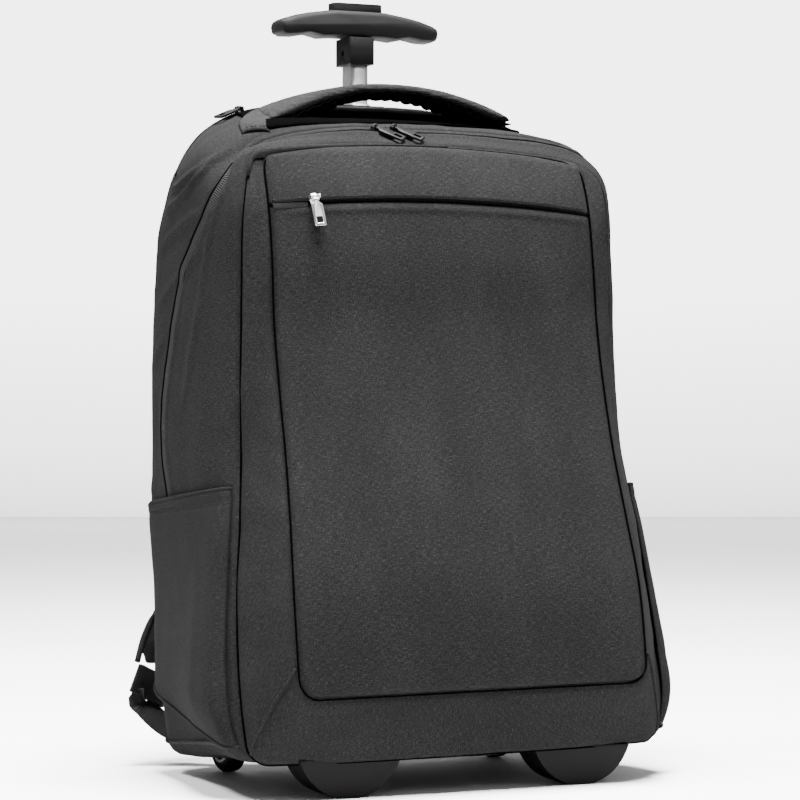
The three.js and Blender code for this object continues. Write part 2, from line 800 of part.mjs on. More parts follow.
function strapAdjuster(side, growth = 0) {
  const { at, along } = adjusterPlace(side);
  const places = [-1, 1].map((end) => ({
    at: at.clone().addScaledVector(along, end * (adjusterHeight / 2 + growth)),
    across: strapAcross(side, 1),
    width: adjusterWidth + 2 * growth,
    thickness: adjusterThickness + 2 * growth,
  }));
  return strip(places);
}

function anchorMiddle(side) {
  const y = bagBack + pieceGap + anchorThickness / 2;
  return new THREE.Vector3(side * anchorHalfSpacing, y, floorGap + anchorLift);
}

function strapAnchor(side) {
  const middle = anchorMiddle(side);
  const half = new THREE.Vector3(anchorWidth / 2, anchorThickness / 2, anchorHeight / 2);
  return block(middle.clone().sub(half).toArray(), middle.clone().add(half).toArray());
}

function strapWebbing(side) {
  const { at, along } = adjusterPlace(side);
  const start = at.clone().addScaledVector(along, adjusterHeight / 2 + 4 * pieceGap);
  const straight = start.clone().addScaledVector(along, webbingThickness * 2);
  const anchor = anchorMiddle(side);
  anchor.y += anchorThickness / 2 + pieceGap + webbingThickness / 2;
  const foot = anchor.z - anchorHeight / 2;
  const sag = new THREE.Vector3(mix(start.x, anchor.x, 0.6), mix(start.y, anchor.y, 0.4), foot - webbingSag);
  const turn = new THREE.Vector3(anchor.x, anchor.y + webbingThickness, foot - webbingSag / 3);
  const end = anchor.clone().add(new THREE.Vector3(0, 0, anchorHeight / 2 - webbingThickness));
  const route = new THREE.CatmullRomCurve3([start, straight, sag, turn, anchor, end]);
  const places = [];
  const steps = 15;
  for (let i = 0; i <= steps; i += 1) {
    places.push({
      at: route.getPoint(i / steps),
      across: strapAcross(side, 1 - i / steps),
      width: webbingWidth,
      thickness: webbingThickness,
    });
  }
  const middle = anchorMiddle(side);
  const seat = new THREE.Vector3(anchorWidth / 2, anchorThickness / 2, anchorHeight / 2).addScalar(pieceGap);
  const room = solid(block(middle.clone().sub(seat).toArray(), middle.clone().add(seat).toArray()));
  const trimmed = solid(strip(places, 4, true)).subtract(room).subtract(solid(strapAdjuster(side, pieceGap)));
  return geometryOf(trimmed.subtract(body(-pieceGap)));
}

// Zip sliders and pull tabs. Each is drawn with its pin along X, the fabric behind it at +Y and its tab
// hanging to -Z, and then set on its zip.

const pinOut = sliderHeight + pinLift;

function sliderDrawing() {
  const pad = new THREE.CylinderGeometry(sliderRadius, sliderRadius * 0.86, sliderHeight, 12);
  let drawn = solid(pad.translate(0, -sliderHeight / 2, 0));
  for (const side of [-1, 1]) {
    const near = side * (earGap / 2);
    const far = side * (earGap / 2 + earWall);
    const low = [Math.min(near, far), -pinOut - earReach, -earReach];
    const high = [Math.max(near, far), -sliderHeight / 2, earReach];
    drawn = drawn.add(solid(block(low, high)));
  }
  const pin = rodAlongX(pinRadius, -earGap / 2 - earWall / 2, earGap / 2 + earWall / 2, -pinOut, 0, 8);
  return drawn.add(solid(pin));
}

function pullDrawing(length, wall) {
  const bore = pinRadius + pinClearance;
  const eye = solid(rodAlongX(bore + eyeWall, -pullNeck / 2, pullNeck / 2, -pinOut, 0, 12));
  const outline = new THREE.Shape();
  const half = pullWidth / 2;
  const shoulder = -pullShoulder;
  outline.moveTo(-pullNeck / 2, 0);
  outline.lineTo(-pullNeck / 2, shoulder);
  outline.lineTo(-half, shoulder - 2);
  outline.lineTo(-half, -length + 1);
  outline.lineTo(-half + 1, -length);
  outline.lineTo(half - 1, -length);
  outline.lineTo(half, -length + 1);
  outline.lineTo(half, shoulder - 2);
  outline.lineTo(pullNeck / 2, shoulder);
  outline.lineTo(pullNeck / 2, 0);
  const window = new THREE.Path();
  const rim = pullWidth * 0.24;
  window.moveTo(-half + rim, -length + rim);
  window.lineTo(-half + rim, -length * 0.68);
  window.lineTo(half - rim, -length * 0.68);
  window.lineTo(half - rim, -length + rim);
  outline.holes.push(window);
  const plate = solid(uprightPrism(outline, -pinOut, wall));
  const hole = solid(rodAlongX(bore, -pullNeck, pullNeck, -pinOut, 0, 12));
  return eye.add(plate).subtract(hole);
}

// Sets a drawing so that its foot is at a place, facing outward, with its tab pointing down.
function setOn(place, outward, down) {
  const yAxis = outward.clone().negate();
  const zAxis = down.clone().addScaledVector(outward, -down.dot(outward)).negate().normalize();
  const xAxis = new THREE.Vector3().crossVectors(yAxis, zAxis);
  return new THREE.Matrix4().makeBasis(xAxis, yAxis, zAxis).setPosition(place);
}

// A tab tipped about its pin, so that its tip comes nearer the fabric.
function tipped(angle) {
  const toPin = new THREE.Matrix4().makeTranslation(0, pinOut, 0);
  const turn = new THREE.Matrix4().makeRotationX(THREE.MathUtils.degToRad(angle));
  const back = new THREE.Matrix4().makeTranslation(0, -pinOut, 0);
  return back.multiply(turn).multiply(toPin);
}

function surfaceNormal(point, along, up) {
  return new THREE.Vector3().crossVectors(along.sub(point), up.sub(point)).normalize();
}

// The height of the body's top above a place, with the body taken in by an inset.
function topOf(x, y, inset) {
  const half = pieceGap / 2;
  const needle = solid(block([x - half, y - half, shoulderStart], [x + half, y + half, bagTop + haulRise]));
  const met = geometryOf(needle.intersect(body(inset)));
  met.computeBoundingBox();
  return met.boundingBox.max.z;
}

function topFrame(x, y, inset) {
  const at = (px, py) => new THREE.Vector3(px, py, topOf(px, py, inset));
  const normal = surfaceNormal(at(x, y), at(x + 1, y), at(x, y + 1));
  return { place: at(x, y).addScaledVector(normal, pieceGap), normal };
}

function frontZipFrame() {
  const out = pieceGap;
  const point = panelPoint(frontSliderAcross, zipUp, out);
  const along = panelPoint(frontSliderAcross + 0.01, zipUp, out);
  const normal = surfaceNormal(point, along, panelPoint(frontSliderAcross, zipUp + 0.01, out));
  return { place: point, normal };
}

const topPullDown = new THREE.Vector3(0.72, -0.6, -0.35);
const rearPullDown = new THREE.Vector3(-0.75, -0.3, -0.6);
const mainZipTop = heightShare(frontTop + frontTopDrop / 3);
const mainZipY = bagBack - bagDepth * readTable(mainZipRows, 'height', 'forward', mainZipTop);
const zipFittings = [
  {
    name: 'front_zip',
    look: 'silver',
    frame: frontZipFrame(),
    down: frontPullDown,
    length: frontPullLength,
    wall: frontPullWall,
    tip: frontPullTip,
  },
  {
    name: 'main_zip_left',
    look: 'blackMetal',
    frame: topFrame(-mainSliderSide - mainSliderSpacing / 2, mainZipY, tapeRecess),
    down: topPullDown,
    length: topPullLength,
    wall: topPullWall,
    tip: topPullTip,
  },
  {
    name: 'main_zip_right',
    look: 'blackMetal',
    frame: topFrame(-mainSliderSide + mainSliderSpacing / 2, mainZipY, tapeRecess),
    down: topPullDown,
    length: topPullLength,
    wall: topPullWall,
    tip: topPullTip,
  },
  {
    name: 'rear_zip',
    look: 'blackMetal',
    frame: topFrame(-rearSliderSide, bagBack - rearZipForward, 0),
    down: rearPullDown,
    length: topPullLength,
    wall: topPullWall,
    tip: topPullTip,
  },
];

function sliderGeometry(fitting) {
  const { place, normal } = fitting.frame;
  return geometryOf(sliderDrawing()).applyMatrix4(setOn(place, normal, fitting.down));
}

function pullGeometry(fitting) {
  const drawn = geometryOf(pullDrawing(fitting.length, fitting.wall)).applyMatrix4(tipped(fitting.tip));
  return drawn.applyMatrix4(setOn(fitting.frame.place, fitting.frame.normal, fitting.down));
}

// Feet and wheels

function frontFoot(side) {
  const drop = footRadius - Math.sqrt(footRadius ** 2 - (footFlat / 2) ** 2);
  const middleZ = footRadius - drop;
  const top = floorGap - pieceGap;
  const topAngle = Math.asin((top - middleZ) / footRadius);
  const flatAngle = Math.asin(-middleZ / footRadius);
  const shape = new THREE.Shape();
  const x = side * footHalfSpacing;
  shape.moveTo(x + footRadius * Math.cos(topAngle), top);
  shape.absarc(x, middleZ, footRadius, topAngle, flatAngle, true);
  shape.absarc(x, middleZ, footRadius, Math.PI - flatAngle, Math.PI - topAngle, true);
  const foot = solid(uprightPrism(shape, footY, footThickness, 10));
  return geometryOf(foot.subtract(body(-pieceGap)));
}

// A body of revolution about X, from a closed profile of places across and out from the axle.
function wheelTurned(profile, side, sides) {
  const points = profile.map(([across, out]) => new THREE.Vector2(out, across));
  points.push(points[0].clone());
  const turned = new THREE.LatheGeometry(points, sides).rotateZ(-Math.PI / 2);
  turned.translate(side * wheelHalfSpacing, wheelY, wheelRadius);
  return geometryOf(solid(turned));
}

function tyre(side) {
  const half = wheelWidth / 2;
  const inner = wheelRadius - tyreThickness;
  const shoulder = tyreThickness * 0.45;
  const profile = [
    [-half, inner], [-half, wheelRadius - shoulder], [-half + shoulder, wheelRadius],
    [half - shoulder, wheelRadius], [half, wheelRadius - shoulder], [half, inner],
  ];
  return wheelTurned(profile, side, 24);
}

function hub(side) {
  const half = wheelWidth / 2;
  const outer = wheelRadius - tyreThickness - pieceGap;
  const rim = outer - hubRimWall;
  const bore = axleRadius + axleClearance;
  const boss = bore + hubBossWall;
  const web = half - hubRecess;
  const profile = [
    [-half, bore], [-half, boss], [-web, boss + 1], [-web, rim - 1], [-half, rim], [-half, outer],
    [half, outer], [half, rim], [web, rim - 1], [web, boss + 1], [half, boss], [half, bore],
  ];
  return wheelTurned(profile, side, 16);
}

function wheelHousing(side) {
  const x = side * wheelHalfSpacing;
  const insideX = wheelWidth / 2 + wheelSideGap;
  const insideY = wheelRadius + wheelSideGap;
  const outsideX = insideX + housingWall;
  const outsideY = insideY + housingWall;
  const insideTop = 2 * wheelRadius + wheelTopGap;
  const top = insideTop + housingWall;
  const low = rearFloorGap + housingLift;
  const skirt = block([x - outsideX, wheelY - outsideY, low], [x + outsideX, wheelY + outsideY, top]);
  const room = block([x - insideX, wheelY - insideY, -1], [x + insideX, wheelY + insideY, insideTop]);
  const axle = rodAlongX(axleRadius, x - outsideX, x + outsideX, wheelY, wheelRadius, 20);
  return geometryOf(solid(skirt).subtract(solid(room)).add(solid(axle)));
}

// The handle

const housingLow = rearFloorGap + fabricWall + bottomBackRadius + pieceGap;
const housingHigh = bagTop - housingBelowTop;
const portTop = bagTop + portRise;
const collarLow = portTop + tubeShown;
const collarHigh = collarLow + collarHeight;
const gripLow = collarHigh + pieceGap;
const gripHigh = gripLow + gripHeight;
const tubeHigh = collarHigh - collarBoreRoof;

function handlePort() {
  const width = tubeWidth + 2 * housingOutside + 2 * portSide;
  const depth = tubeDepth + 2 * housingOutside + 2 * portEdge;
  const flange = roundedRectangle(width, depth, tubeRadius + housingOutside);
  let port = solid(prism(flange, bagTop - backCornerRadius, portTop, 3));
  port = port.subtract(solid(prism(tubeShape(housingInside), 0, portTop + 1, 3)));
  port = port.subtract(solid(prism(tubeShape(housingOutside + pieceGap), 0, housingHigh + pieceGap, 3)));
  return geometryOf(port.translate(0, tubeY, 0).subtract(body(-pieceGap)));
}

function handleCollar() {
  const outer = solid(prism(roundedRectangle(collarWidth, collarDepth, collarRadius), collarLow, collarHigh, 3));
  const bore = solid(prism(tubeShape(pieceGap), collarLow - 1, tubeHigh + pieceGap, 3));
  const screw = rodAlongX(screwRadius, -collarWidth / 2 - 1, -collarWidth / 2 + screwDepth, 0, 0, 12);
  const screwHole = solid(screw.translate(0, 0, mix(collarLow, collarHigh, 0.45)));
  return geometryOf(outer.subtract(bore).subtract(screwHole).translate(0, tubeY, 0));
}

function handleGrip() {
  const right = [];
  for (const row of gripRows) right.push(new THREE.Vector2(gripHalfLength * row.along, gripHeight * row.under));
  const endMiddle = gripHeight * 0.3;
  right.push(new THREE.Vector2(gripHalfLength * 0.985, gripHeight * 0.06));
  right.push(new THREE.Vector2(gripHalfLength, endMiddle));
  right.push(new THREE.Vector2(gripHalfLength * 0.985, gripHeight * 0.48));
  for (const row of [...gripRows].reverse()) {
    right.push(new THREE.Vector2(gripHalfLength * row.along, gripHeight * row.top));
  }
  const left = [...right].reverse().map((p) => new THREE.Vector2(-p.x, p.y));
  const shape = new THREE.Shape([...right, ...left]);
  const depth = gripDepth - 2 * gripRounding;
  const geometry = new THREE.ExtrudeGeometry(shape, {
    depth,
    bevelThickness: gripRounding,
    bevelSize: gripRounding * 0.7,
    bevelOffset: -gripRounding * 0.7,
    bevelSegments: 2,
  });
  geometry.translate(0, 0, -depth / 2).rotateX(Math.PI / 2).translate(0, tubeY, gripLow);
  const seatX = buttonHalfLength + pieceGap;
  const seatY = buttonWidth / 2 + pieceGap;
  const seatLow = gripHigh - buttonSeat - buttonTravel - pieceGap;
  const seat = block([-seatX, tubeY - seatY, seatLow], [seatX, tubeY + seatY, gripHigh + 5]);
  const overCollar = block(
    [-collarWidth / 2 - 4, tubeY - collarDepth / 2 - 1, 0],
    [collarWidth / 2 + 4, tubeY + collarDepth / 2 + 1, gripLow],
  );
  return geometryOf(solid(geometry).subtract(solid(seat)).subtract(solid(overCollar)));
}

function releaseButton() {
  const shape = roundedRectangle(2 * buttonHalfLength, buttonWidth, buttonWidth * 0.3);
  const low = gripHigh - buttonSeat;
  return prism(shape, low, gripHigh + buttonLift, 3).translate(0, tubeY, 0);
}

const looks = {
  fabric: { color: 0x37383a, roughness: 0.95, metalness: 0 },
  pocketFabric: { color: 0x303133, roughness: 0.95, metalness: 0 },
  strapFabric: { color: 0x262627, roughness: 0.95, metalness: 0 },
  meshFabric: { color: 0x1b1b1c, roughness: 1, metalness: 0 },
  zipTape: { color: 0x141415, roughness: 0.8, metalness: 0 },
  blackMetal: { color: 0x1a1a1b, roughness: 0.45, metalness: 0.6 },
  silver: { color: 0xd9dadb, roughness: 0.3, metalness: 1 },
  plastic: { color: 0x202122, roughness: 0.55, metalness: 0 },
  gripPlastic: { color: 0x2a2b2d, roughness: 0.7, metalness: 0 },
  rubber: { color: 0x171717, roughness: 0.85, metalness: 0 },
  aluminium: { color: 0xe2e3e4, roughness: 0.3, metalness: 1 },
};

function piece(name, look, geometry) {
  const mesh = new THREE.Mesh(geometry, new THREE.MeshStandardMaterial(looks[look]));
  mesh.name = name;
  return mesh;
}

const model = new THREE.Group();
model.add(piece('bag_shell', 'fabric', bagShell()));
model.add(piece('front_panel', 'fabric', frontPanel()));
model.add(piece('front_zip', 'zipTape', frontZip()));
model.add(piece('front_band', 'fabric', frontBand()));
model.add(piece('main_zip', 'zipTape', zipSkin(mainZipSheet(mainZipWidth - 2 * pieceGap, pieceGap))));
model.add(piece('rear_zip', 'zipTape', zipSkin(rearZipSheet(rearZipWidth - 2 * pieceGap, pieceGap))));
model.add(piece('side_pocket_left', 'pocketFabric', sidePocket(-1)));
model.add(piece('side_pocket_right', 'pocketFabric', sidePocket(1)));
model.add(piece('haul_handle', 'fabric', haulHandle()));
model.add(piece('back_pad', 'meshFabric', backPad()));
model.add(piece('shoulder_strap_left', 'strapFabric', shoulderStrap(-1)));
model.add(piece('shoulder_strap_right', 'strapFabric', shoulderStrap(1)));
for (const [side, name] of [[-1, 'left'], [1, 'right']]) {
  model.add(piece(`strap_adjuster_${name}`, 'plastic', strapAdjuster(side)));
  model.add(piece(`strap_webbing_${name}`, 'strapFabric', strapWebbing(side)));
  model.add(piece(`strap_anchor_${name}`, 'strapFabric', strapAnchor(side)));
  model.add(piece(`front_foot_${name}`, 'plastic', frontFoot(side)));
  model.add(piece(`wheel_housing_${name}`, 'plastic', wheelHousing(side)));
  model.add(piece(`wheel_tyre_${name}`, 'rubber', tyre(side)));
  model.add(piece(`wheel_hub_${name}`, 'plastic', hub(side)));
}
for (const fitting of zipFittings) {
  model.add(piece(`${fitting.name}_slider`, fitting.look, sliderGeometry(fitting)));
  model.add(piece(`${fitting.name}_pull`, fitting.look, pullGeometry(fitting)));
}
const midLow = housingLow + midFoot;
const innerLow = housingLow + innerFoot;
model.add(piece('handle_housing', 'plastic', tube(housingOutside, housingInside, housingLow, housingHigh)));
model.add(piece('handle_tube_mid', 'aluminium', tube(midOutside, midInside, midLow, portTop + midShown)));
model.add(piece('handle_tube_inner', 'aluminium', tube(0, -tubeWall, innerLow, tubeHigh)));
model.add(piece('handle_port', 'plastic', handlePort()));
model.add(piece('handle_collar', 'gripPlastic', handleCollar()));
model.add(piece('handle_grip', 'gripPlastic', handleGrip()));
model.add(piece('release_button', 'gripPlastic', releaseButton()));

// The origin is under the middle of the whole backpack.
const box = new THREE.Box3().setFromObject(model, true);
model.position.set(-(box.min.x + box.max.x) / 2, -(box.min.y + box.max.y) / 2, -box.min.z);

export default model;
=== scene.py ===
import math

import bmesh
import bpy
import numpy as np
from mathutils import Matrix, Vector, noise


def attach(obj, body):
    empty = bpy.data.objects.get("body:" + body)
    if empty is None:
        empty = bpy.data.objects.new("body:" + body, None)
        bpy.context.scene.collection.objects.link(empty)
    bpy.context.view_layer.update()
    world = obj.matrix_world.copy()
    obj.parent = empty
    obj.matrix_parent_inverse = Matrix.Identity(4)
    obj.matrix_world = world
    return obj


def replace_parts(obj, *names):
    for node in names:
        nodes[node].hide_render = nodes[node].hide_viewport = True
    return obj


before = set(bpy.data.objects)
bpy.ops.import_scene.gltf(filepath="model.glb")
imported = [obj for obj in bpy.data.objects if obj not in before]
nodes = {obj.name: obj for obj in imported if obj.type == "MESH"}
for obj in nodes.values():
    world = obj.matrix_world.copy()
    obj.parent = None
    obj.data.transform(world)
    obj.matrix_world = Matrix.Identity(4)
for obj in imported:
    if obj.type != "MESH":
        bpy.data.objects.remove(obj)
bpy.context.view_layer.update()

# Lengths are millimetres. Y is measured back from the front feet, X from the middle and Z from the floor.
MM = 0.001
ORIGIN_Y = 120.758
INSIDE = (0, 110, 240)
SIDES = ((-1, "left"), (1, "right"))

# Bag body
FLOOR_GAP = 27
REAR_FLOOR_GAP = 11
BAG_HEIGHT = 461
BAG_HALF_WIDTH = 162
BAG_DEPTH = 228
BAG_BACK = 203
BACK_CORNER = 35
BOTTOM_CORNER = 15
BOTTOM_BACK = 12
SHOULDER_HEIGHT = 352
FRONT_TOP_DROP = 36.5
FRONT_CROWN = 8
REAR_CROWN = 3
SIDE_BULGE = 5
FRONT_LEAD = 18
LEFT_CORNER = 16
LEFT_CORNER_REACH = 0.1
LEFT_HOLLOW = 0.42
LEFT_HOLLOW_PLACE = 0.19
LEFT_HOLLOW_REACH = 0.13
LEFT_LEAN = 13
LEFT_LEAN_REACH = 0.5
FRONT_SAG = 4.2
SAG_HEIGHT = 80
SAG_REACH = 0.3
SEAM_RADIUS = 0.65
SAG_RIGHT_SHARE = 0.35
CORNER_TAPER = 0.4
SMALLEST_CORNER = 3
CLOTH_WALL = 1.4
ROLL_START = 137
ROLL_END = 20
ROLL_RADIUS = 5.2

# Powers of the rounded shoulder's curve, across and up
PANEL_POWERS = (14, 14)
FRONT_POWERS = (8, 8)
BACK_POWERS = (4.5, 1.75)
BACK_POWER_EASE = 0.7

# Front panel, its zip and the band over it
PANEL_WALL = 3.3
PANEL_BOTTOM = 46
PANEL_CORNER = 14
PANEL_TOP_DROP = 1.5
PANEL_BULGE = 12
ZIP_BELOW_TOP = 36
ZIP_GAP = 5
BAND_LIFT = 2.6
BAND_LIP = 3

# Zips
MAIN_ZIP_WIDTH = 9
REAR_ZIP_WIDTH = 7
REAR_ZIP_FORWARD = 43
REAR_ZIP_DOWN = 58
ZIP_BEND_BELOW_TOP = 38
ZIP_BEND_REACH = 15
COIL_PITCH = 1.7
FRONT_COIL = (1.0, 3.4, 0.7)
FRONT_COIL_OUT = -2.2
FRONT_TAPE_OUT = -2.4
MAIN_COIL_WIDTH = 3.0
MAIN_ZIP_LIFT = 0.4
REAR_COIL_WIDTH = 4.4
REAR_ZIP_LIFT = 1.1
ZIP_EDGE_RADIUS = 0.6
SHADOW_INSET = 0.5
SHADOW_RADIUS = 0.9
TOP_FLAP_HALF = 136
TOP_FLAP_EASE = 22
TOP_COIL_SHORT = 12
TOP_FLAP_OFFSET = 3.1
TOP_FLAP_WIDTH = 4.6

# Side pockets
POCKET_BULGE = 7
POCKET_WALL = 2
POCKET_STAND_OFF = 0.5
HEM_FRONT = 183
HEM_BACK = 162
FOOT_FRONT = 5
FOOT_BACK = 43
POCKET_END = 1.6
HEM_RADIUS = 1.5
HEM_DEPTH = 9
POCKET_STITCH = (2.5, 0.6, 0.35)
POCKET_STITCH_PITCH = 3.6

# The black panel on top: black cloth, and painted shadow under the haul handle
LINING_LEFT = -108
LINING_RIGHT = 104
LINING_FRONT = 97
LINING_FRONT_STEP = 22
LINING_LIFT = 2.4

# Haul handle
HAUL_HALF = 97
HAUL_FORWARD = 71
HAUL_WIDTH = 30
HAUL_THICK = 11
HAUL_END = 3
HAUL_RISE = 13.5
HAUL_ARCH = 24
HAUL_RIB = 8.5
HAUL_DROP = 3
HAUL_TWIST = 0.42
HAUL_TAIL = 13
HAUL_TAIL_LEAD = 34
HAUL_STITCH = (2.0, 0.6, 0.4)
HAUL_STITCH_PITCH = 3.0

# Back padding and straps
PAD_WIDTH = 216
PAD_HEIGHT = 366
PAD_BOTTOM = 36
PAD_THICK = 9
PAD_RADIUS = 34
STRAP_WIDTH = 62
STRAP_THICK = 11
STRAP_REACH = 40
WEBBING_WIDTH = 25
WEBBING_THICK = 2
ADJUSTER_LENGTH = 22
ANCHOR_WIDTH = 30
ANCHOR_HEIGHT = 22
ANCHOR_THICK = 3
ANCHOR_SPACING = 112
ANCHOR_LIFT = 12
WEBBING_SAG = 6
STRAP_STEPS = 64
CHANNEL_X = 8
CHANNEL_LEAN = 30
CHANNEL_Z = 62
CHANNEL_UP = (3.2, 5)
CHANNEL_ACROSS = (2.6, 5)
AIR_PRESSURE = 4
SIMULATED_FRAMES = 20

# Handle and wheels, where the cloth is cut out for them
TUBE_Y = BAG_BACK - 17
PORT_CUT = (17, 13.6)
WHEEL_X = 108
WHEEL_Y = BAG_BACK - 33
WELL_CUT = (12, 29, 52)

# Studio, in metres: the floor, the backdrop and the camera's turn from straight ahead
FLOOR_HALF = 12
BACKDROP_HALF = 2.4
BACKDROP_TOP = 2.6
BACKDROP_BACK = 5
VIEW_TURN = math.radians(25)

BAG_TOP = FLOOR_GAP + BAG_HEIGHT
FRONT_TOP = BAG_TOP - FRONT_TOP_DROP
SHOULDER = FLOOR_GAP + SHOULDER_HEIGHT
CORNER_START = BAG_BACK - BACK_CORNER
PANEL_SPAN = FRONT_TOP - PANEL_TOP_DROP - FRONT_CROWN - FLOOR_GAP - PANEL_BOTTOM
ZIP_UP = 1 - ZIP_BELOW_TOP / PANEL_SPAN
HAUL_Y = BAG_BACK - HAUL_FORWARD
REAR_ZIP_Y = BAG_BACK - REAR_ZIP_FORWARD
PAD_FACE = BAG_BACK + 0.3 + PAD_THICK


def table(columns, rows):
    return dict(zip(columns.split(), np.array(rows, float).T))


# The bag from the side and from the front, bottom row first, as shares of the main sizes.
OUTLINE = table("height seam_half seam_forward front_half front_forward back_half roll", [
    (0.0, 0.815, 1.0, 0.975, 0.85, 0.965, 1.5),
    (0.06, 0.815, 1.0, 0.99, 0.83, 0.985, 2.3),
    (0.14, 0.82, 0.978, 0.994, 0.798, 0.99, 1.9),
    (0.245, 0.818, 0.939, 0.98, 0.763, 1.0, 1.2),
    (0.345, 0.8, 0.882, 0.95, 0.732, 1.018, 1),
    (0.445, 0.785, 0.82, 0.917, 0.684, 1.022, 1),
    (0.545, 0.78, 0.763, 0.904, 0.658, 1.022, 1),
    (0.645, 0.778, 0.719, 0.895, 0.649, 1.018, 1),
    (0.745, 0.775, 0.697, 0.889, 0.645, 1.0, 1),
    (0.825, 0.775, 0.667, 0.886, 0.64, 0.99, 1),
    (0.915, 0.772, 0.6, 0.883, 0.585, 0.98, 1),
])
TOP_RISE = table("back rise", [(0, 0), (0.25, 0.41), (0.45, 0.53), (0.65, 0.63), (0.85, 0.86), (1, 1)])
SIDE_ROLL = table("station share", [(0, 0), (0.08, 1), (0.3, 0.9), (0.55, 0.5), (0.78, 0.2), (1, 0)])
POCKET_ROUND = table("round share", [
    (0.03, 0.3), (0.12, 0.85), (0.25, 1), (0.5, 0.8), (0.8, 0.35), (1, 0.12), (1.3, 0), (1.6, 0),
])
POCKET_RISE = table("row share", [
    (0, 0), (0.12, 0.75), (0.3, 1), (0.5, 0.85), (0.75, 0.55), (0.93, 0.28), (1, 0.15),
])
MAIN_ZIP = table("height forward", [
    (0.37, 0.27), (0.397, 0.252), (0.436, 0.22), (0.472, 0.21), (0.534, 0.22),
    (0.601, 0.257), (0.652, 0.289), (0.718, 0.335), (0.764, 0.399), (0.806, 0.472),
    (0.841, 0.51), (0.864, 0.521), (0.886, 0.511), (0.92, 0.497), (1.03, 0.497),
])
STRAP = table("side height behind width", [
    (0.3, 0.86, 0.03, 1), (0.31, 0.84, 0.35, 1), (0.38, 0.72, 0.85, 1), (0.48, 0.55, 1, 1),
    (0.5, 0.37, 0.95, 0.95), (0.62, 0.22, 0.75, 0.82), (0.79, 0.14, 0.6, 0.7), (0.855, 0.09, 0.5, 0.66),
])

# Dents and rises in the cloth: depth or height, then width
SEAM_DIP = (2.2, 2.2)
ZIP_DIP = (0.8, 4.2)
REAR_ZIP_DIP = (0.9, 3.4)
REAR_FLAP = (0.7, 1.8)
REAR_FLAP_OUT = 5.5
MAIN_FLAP_HEIGHTS = (1.1, 0.5)
MAIN_FLAP_WIDTH = 2.0
MAIN_FLAP_OUT = 6.5
POCKET_FOOT_TUCK = 2.4
GUSSET_SWELL = 2.0
GUSSET_SEAM_DIP = (1.6, 2.0)
GUSSET_CORNER_DIP = (1.8, 2.2)
PANEL_EDGE_DIP = (2.6, 2.4)
PANEL_FOOT_DIP = (2.6, 2.6)
PANEL_ZIP_DIP = (1.9, 1.3)
PANEL_ZIP_SWELL = (1.2, 3.0)
PANEL_SWELL_DOWN = 5
BAND_EDGE_DIP = (2.4, 2.4)
BAND_TOP_DIP = (2.4, 2.2)
BAND_LIP_DIP = (1.6, 0.9)
CLOSED_TUCK = (1.2, 1.6)
CLOSED_LINE = (2.0, 0.8)
HEM_SWELL = (0.5, 3)
HEM_SWELL_DOWN = 3
STITCH_DIP = (0.5, 1.3)
POCKET_END_DIP = (1.2, 2.2)

# Gentle unevenness of each cloth: height, size and seed of its waves
WAVES = {
    "body": [(0.9, 46, 1), (0.45, 17, 2)],
    "back": [(0.5, 40, 3)],
    "gusset": [(0.9, 38, 4), (0.4, 14, 5)],
    "front": [(0.6, 70, 6), (0.25, 22, 7)],
    "band": [(0.5, 30, 8)],
    "lining": [(0.5, 12, 9)],
    "left pocket": [(0.9, 55, 9), (0.4, 18, 12)],
    "right pocket": [(0.9, 55, 11), (0.4, 18, 14)],
    "closed end": [(0.3, 12, 15)],
}

# How folds fade: at their ends, towards the top's middle, and on the right side
FOLD_END = 14
FOLD_START_X = 90
FOLD_FADE = 40
RIGHT_FOLD_SHARE = 0.75
FOLD_HOLLOW = 0.4
FOLD_HOLLOW_WIDTH = 2.4

# Folds in the side cloth: their lines in Y and Z, half width and height. The upper ones fan out from
# the shoulder.
SIDE_FOLDS = [
    ([(99, 451), (98, 441), (110, 432.5), (143, 423), (172, 421)], 2.6, 2.3),
    ([(98, 456), (96, 442), (101, 431.5), (118, 420), (140, 411), (172, 406)], 2.9, 3.2),
    ([(92, 403), (114, 398), (149, 387), (170, 377)], 3.2, 2.6),
    ([(79, 388), (99, 374), (124, 359), (152, 345), (170, 334)], 4.2, 1.7),
    ([(82, 434), (75, 411), (86, 381), (94, 347), (98, 318)], 3.2, 1.5),
    ([(92, 345), (106, 300), (116, 256)], 4.4, 1.6),
    ([(40, 350), (46, 300), (54, 250)], 5.0, 1.2),
    ([(140, 320), (160, 308), (182, 286)], 4.6, 1.3),
    ([(160, 226), (178, 205), (190, 182)], 5.0, 1.6),
]


def smooth_read(rows, key, column, at):
    """A table's column read with a smooth curve through its rows."""
    x, y = rows[key], rows[column]
    slope = np.gradient(y, x)
    at = np.clip(at, x[0], x[-1])
    low = np.clip(np.searchsorted(x, at) - 1, 0, len(x) - 2)
    width = x[low + 1] - x[low]
    t = (at - x[low]) / width
    return (
        y[low] * (2 * t**3 - 3 * t**2 + 1)
        + y[low + 1] * (3 * t**2 - 2 * t**3)
        + slope[low] * width * (t**3 - 2 * t**2 + t)
        + slope[low + 1] * width * (t**3 - t**2)
    )


def mix(a, b, share):
    return a + (b - a) * share


def hump(distance, width):
    return np.exp(-((distance / width) ** 2))


def dent(distance, shape):
    """A dent or a rise: its depth or height where the distance is 0, then its width."""
    return shape[0] * hump(distance, shape[1])


def spans(*rows):
    """Places in spans laid end to end, each with a start, an end and a count."""
    parts = [np.linspace(*row) for row in rows]
    return np.concatenate([parts[0]] + [part[1:] for part in parts[1:]])


def run_along(path):
    """How far along a path each of its points lies."""
    return np.concatenate([[0], np.cumsum(np.linalg.norm(np.diff(path, axis=0), axis=1))])


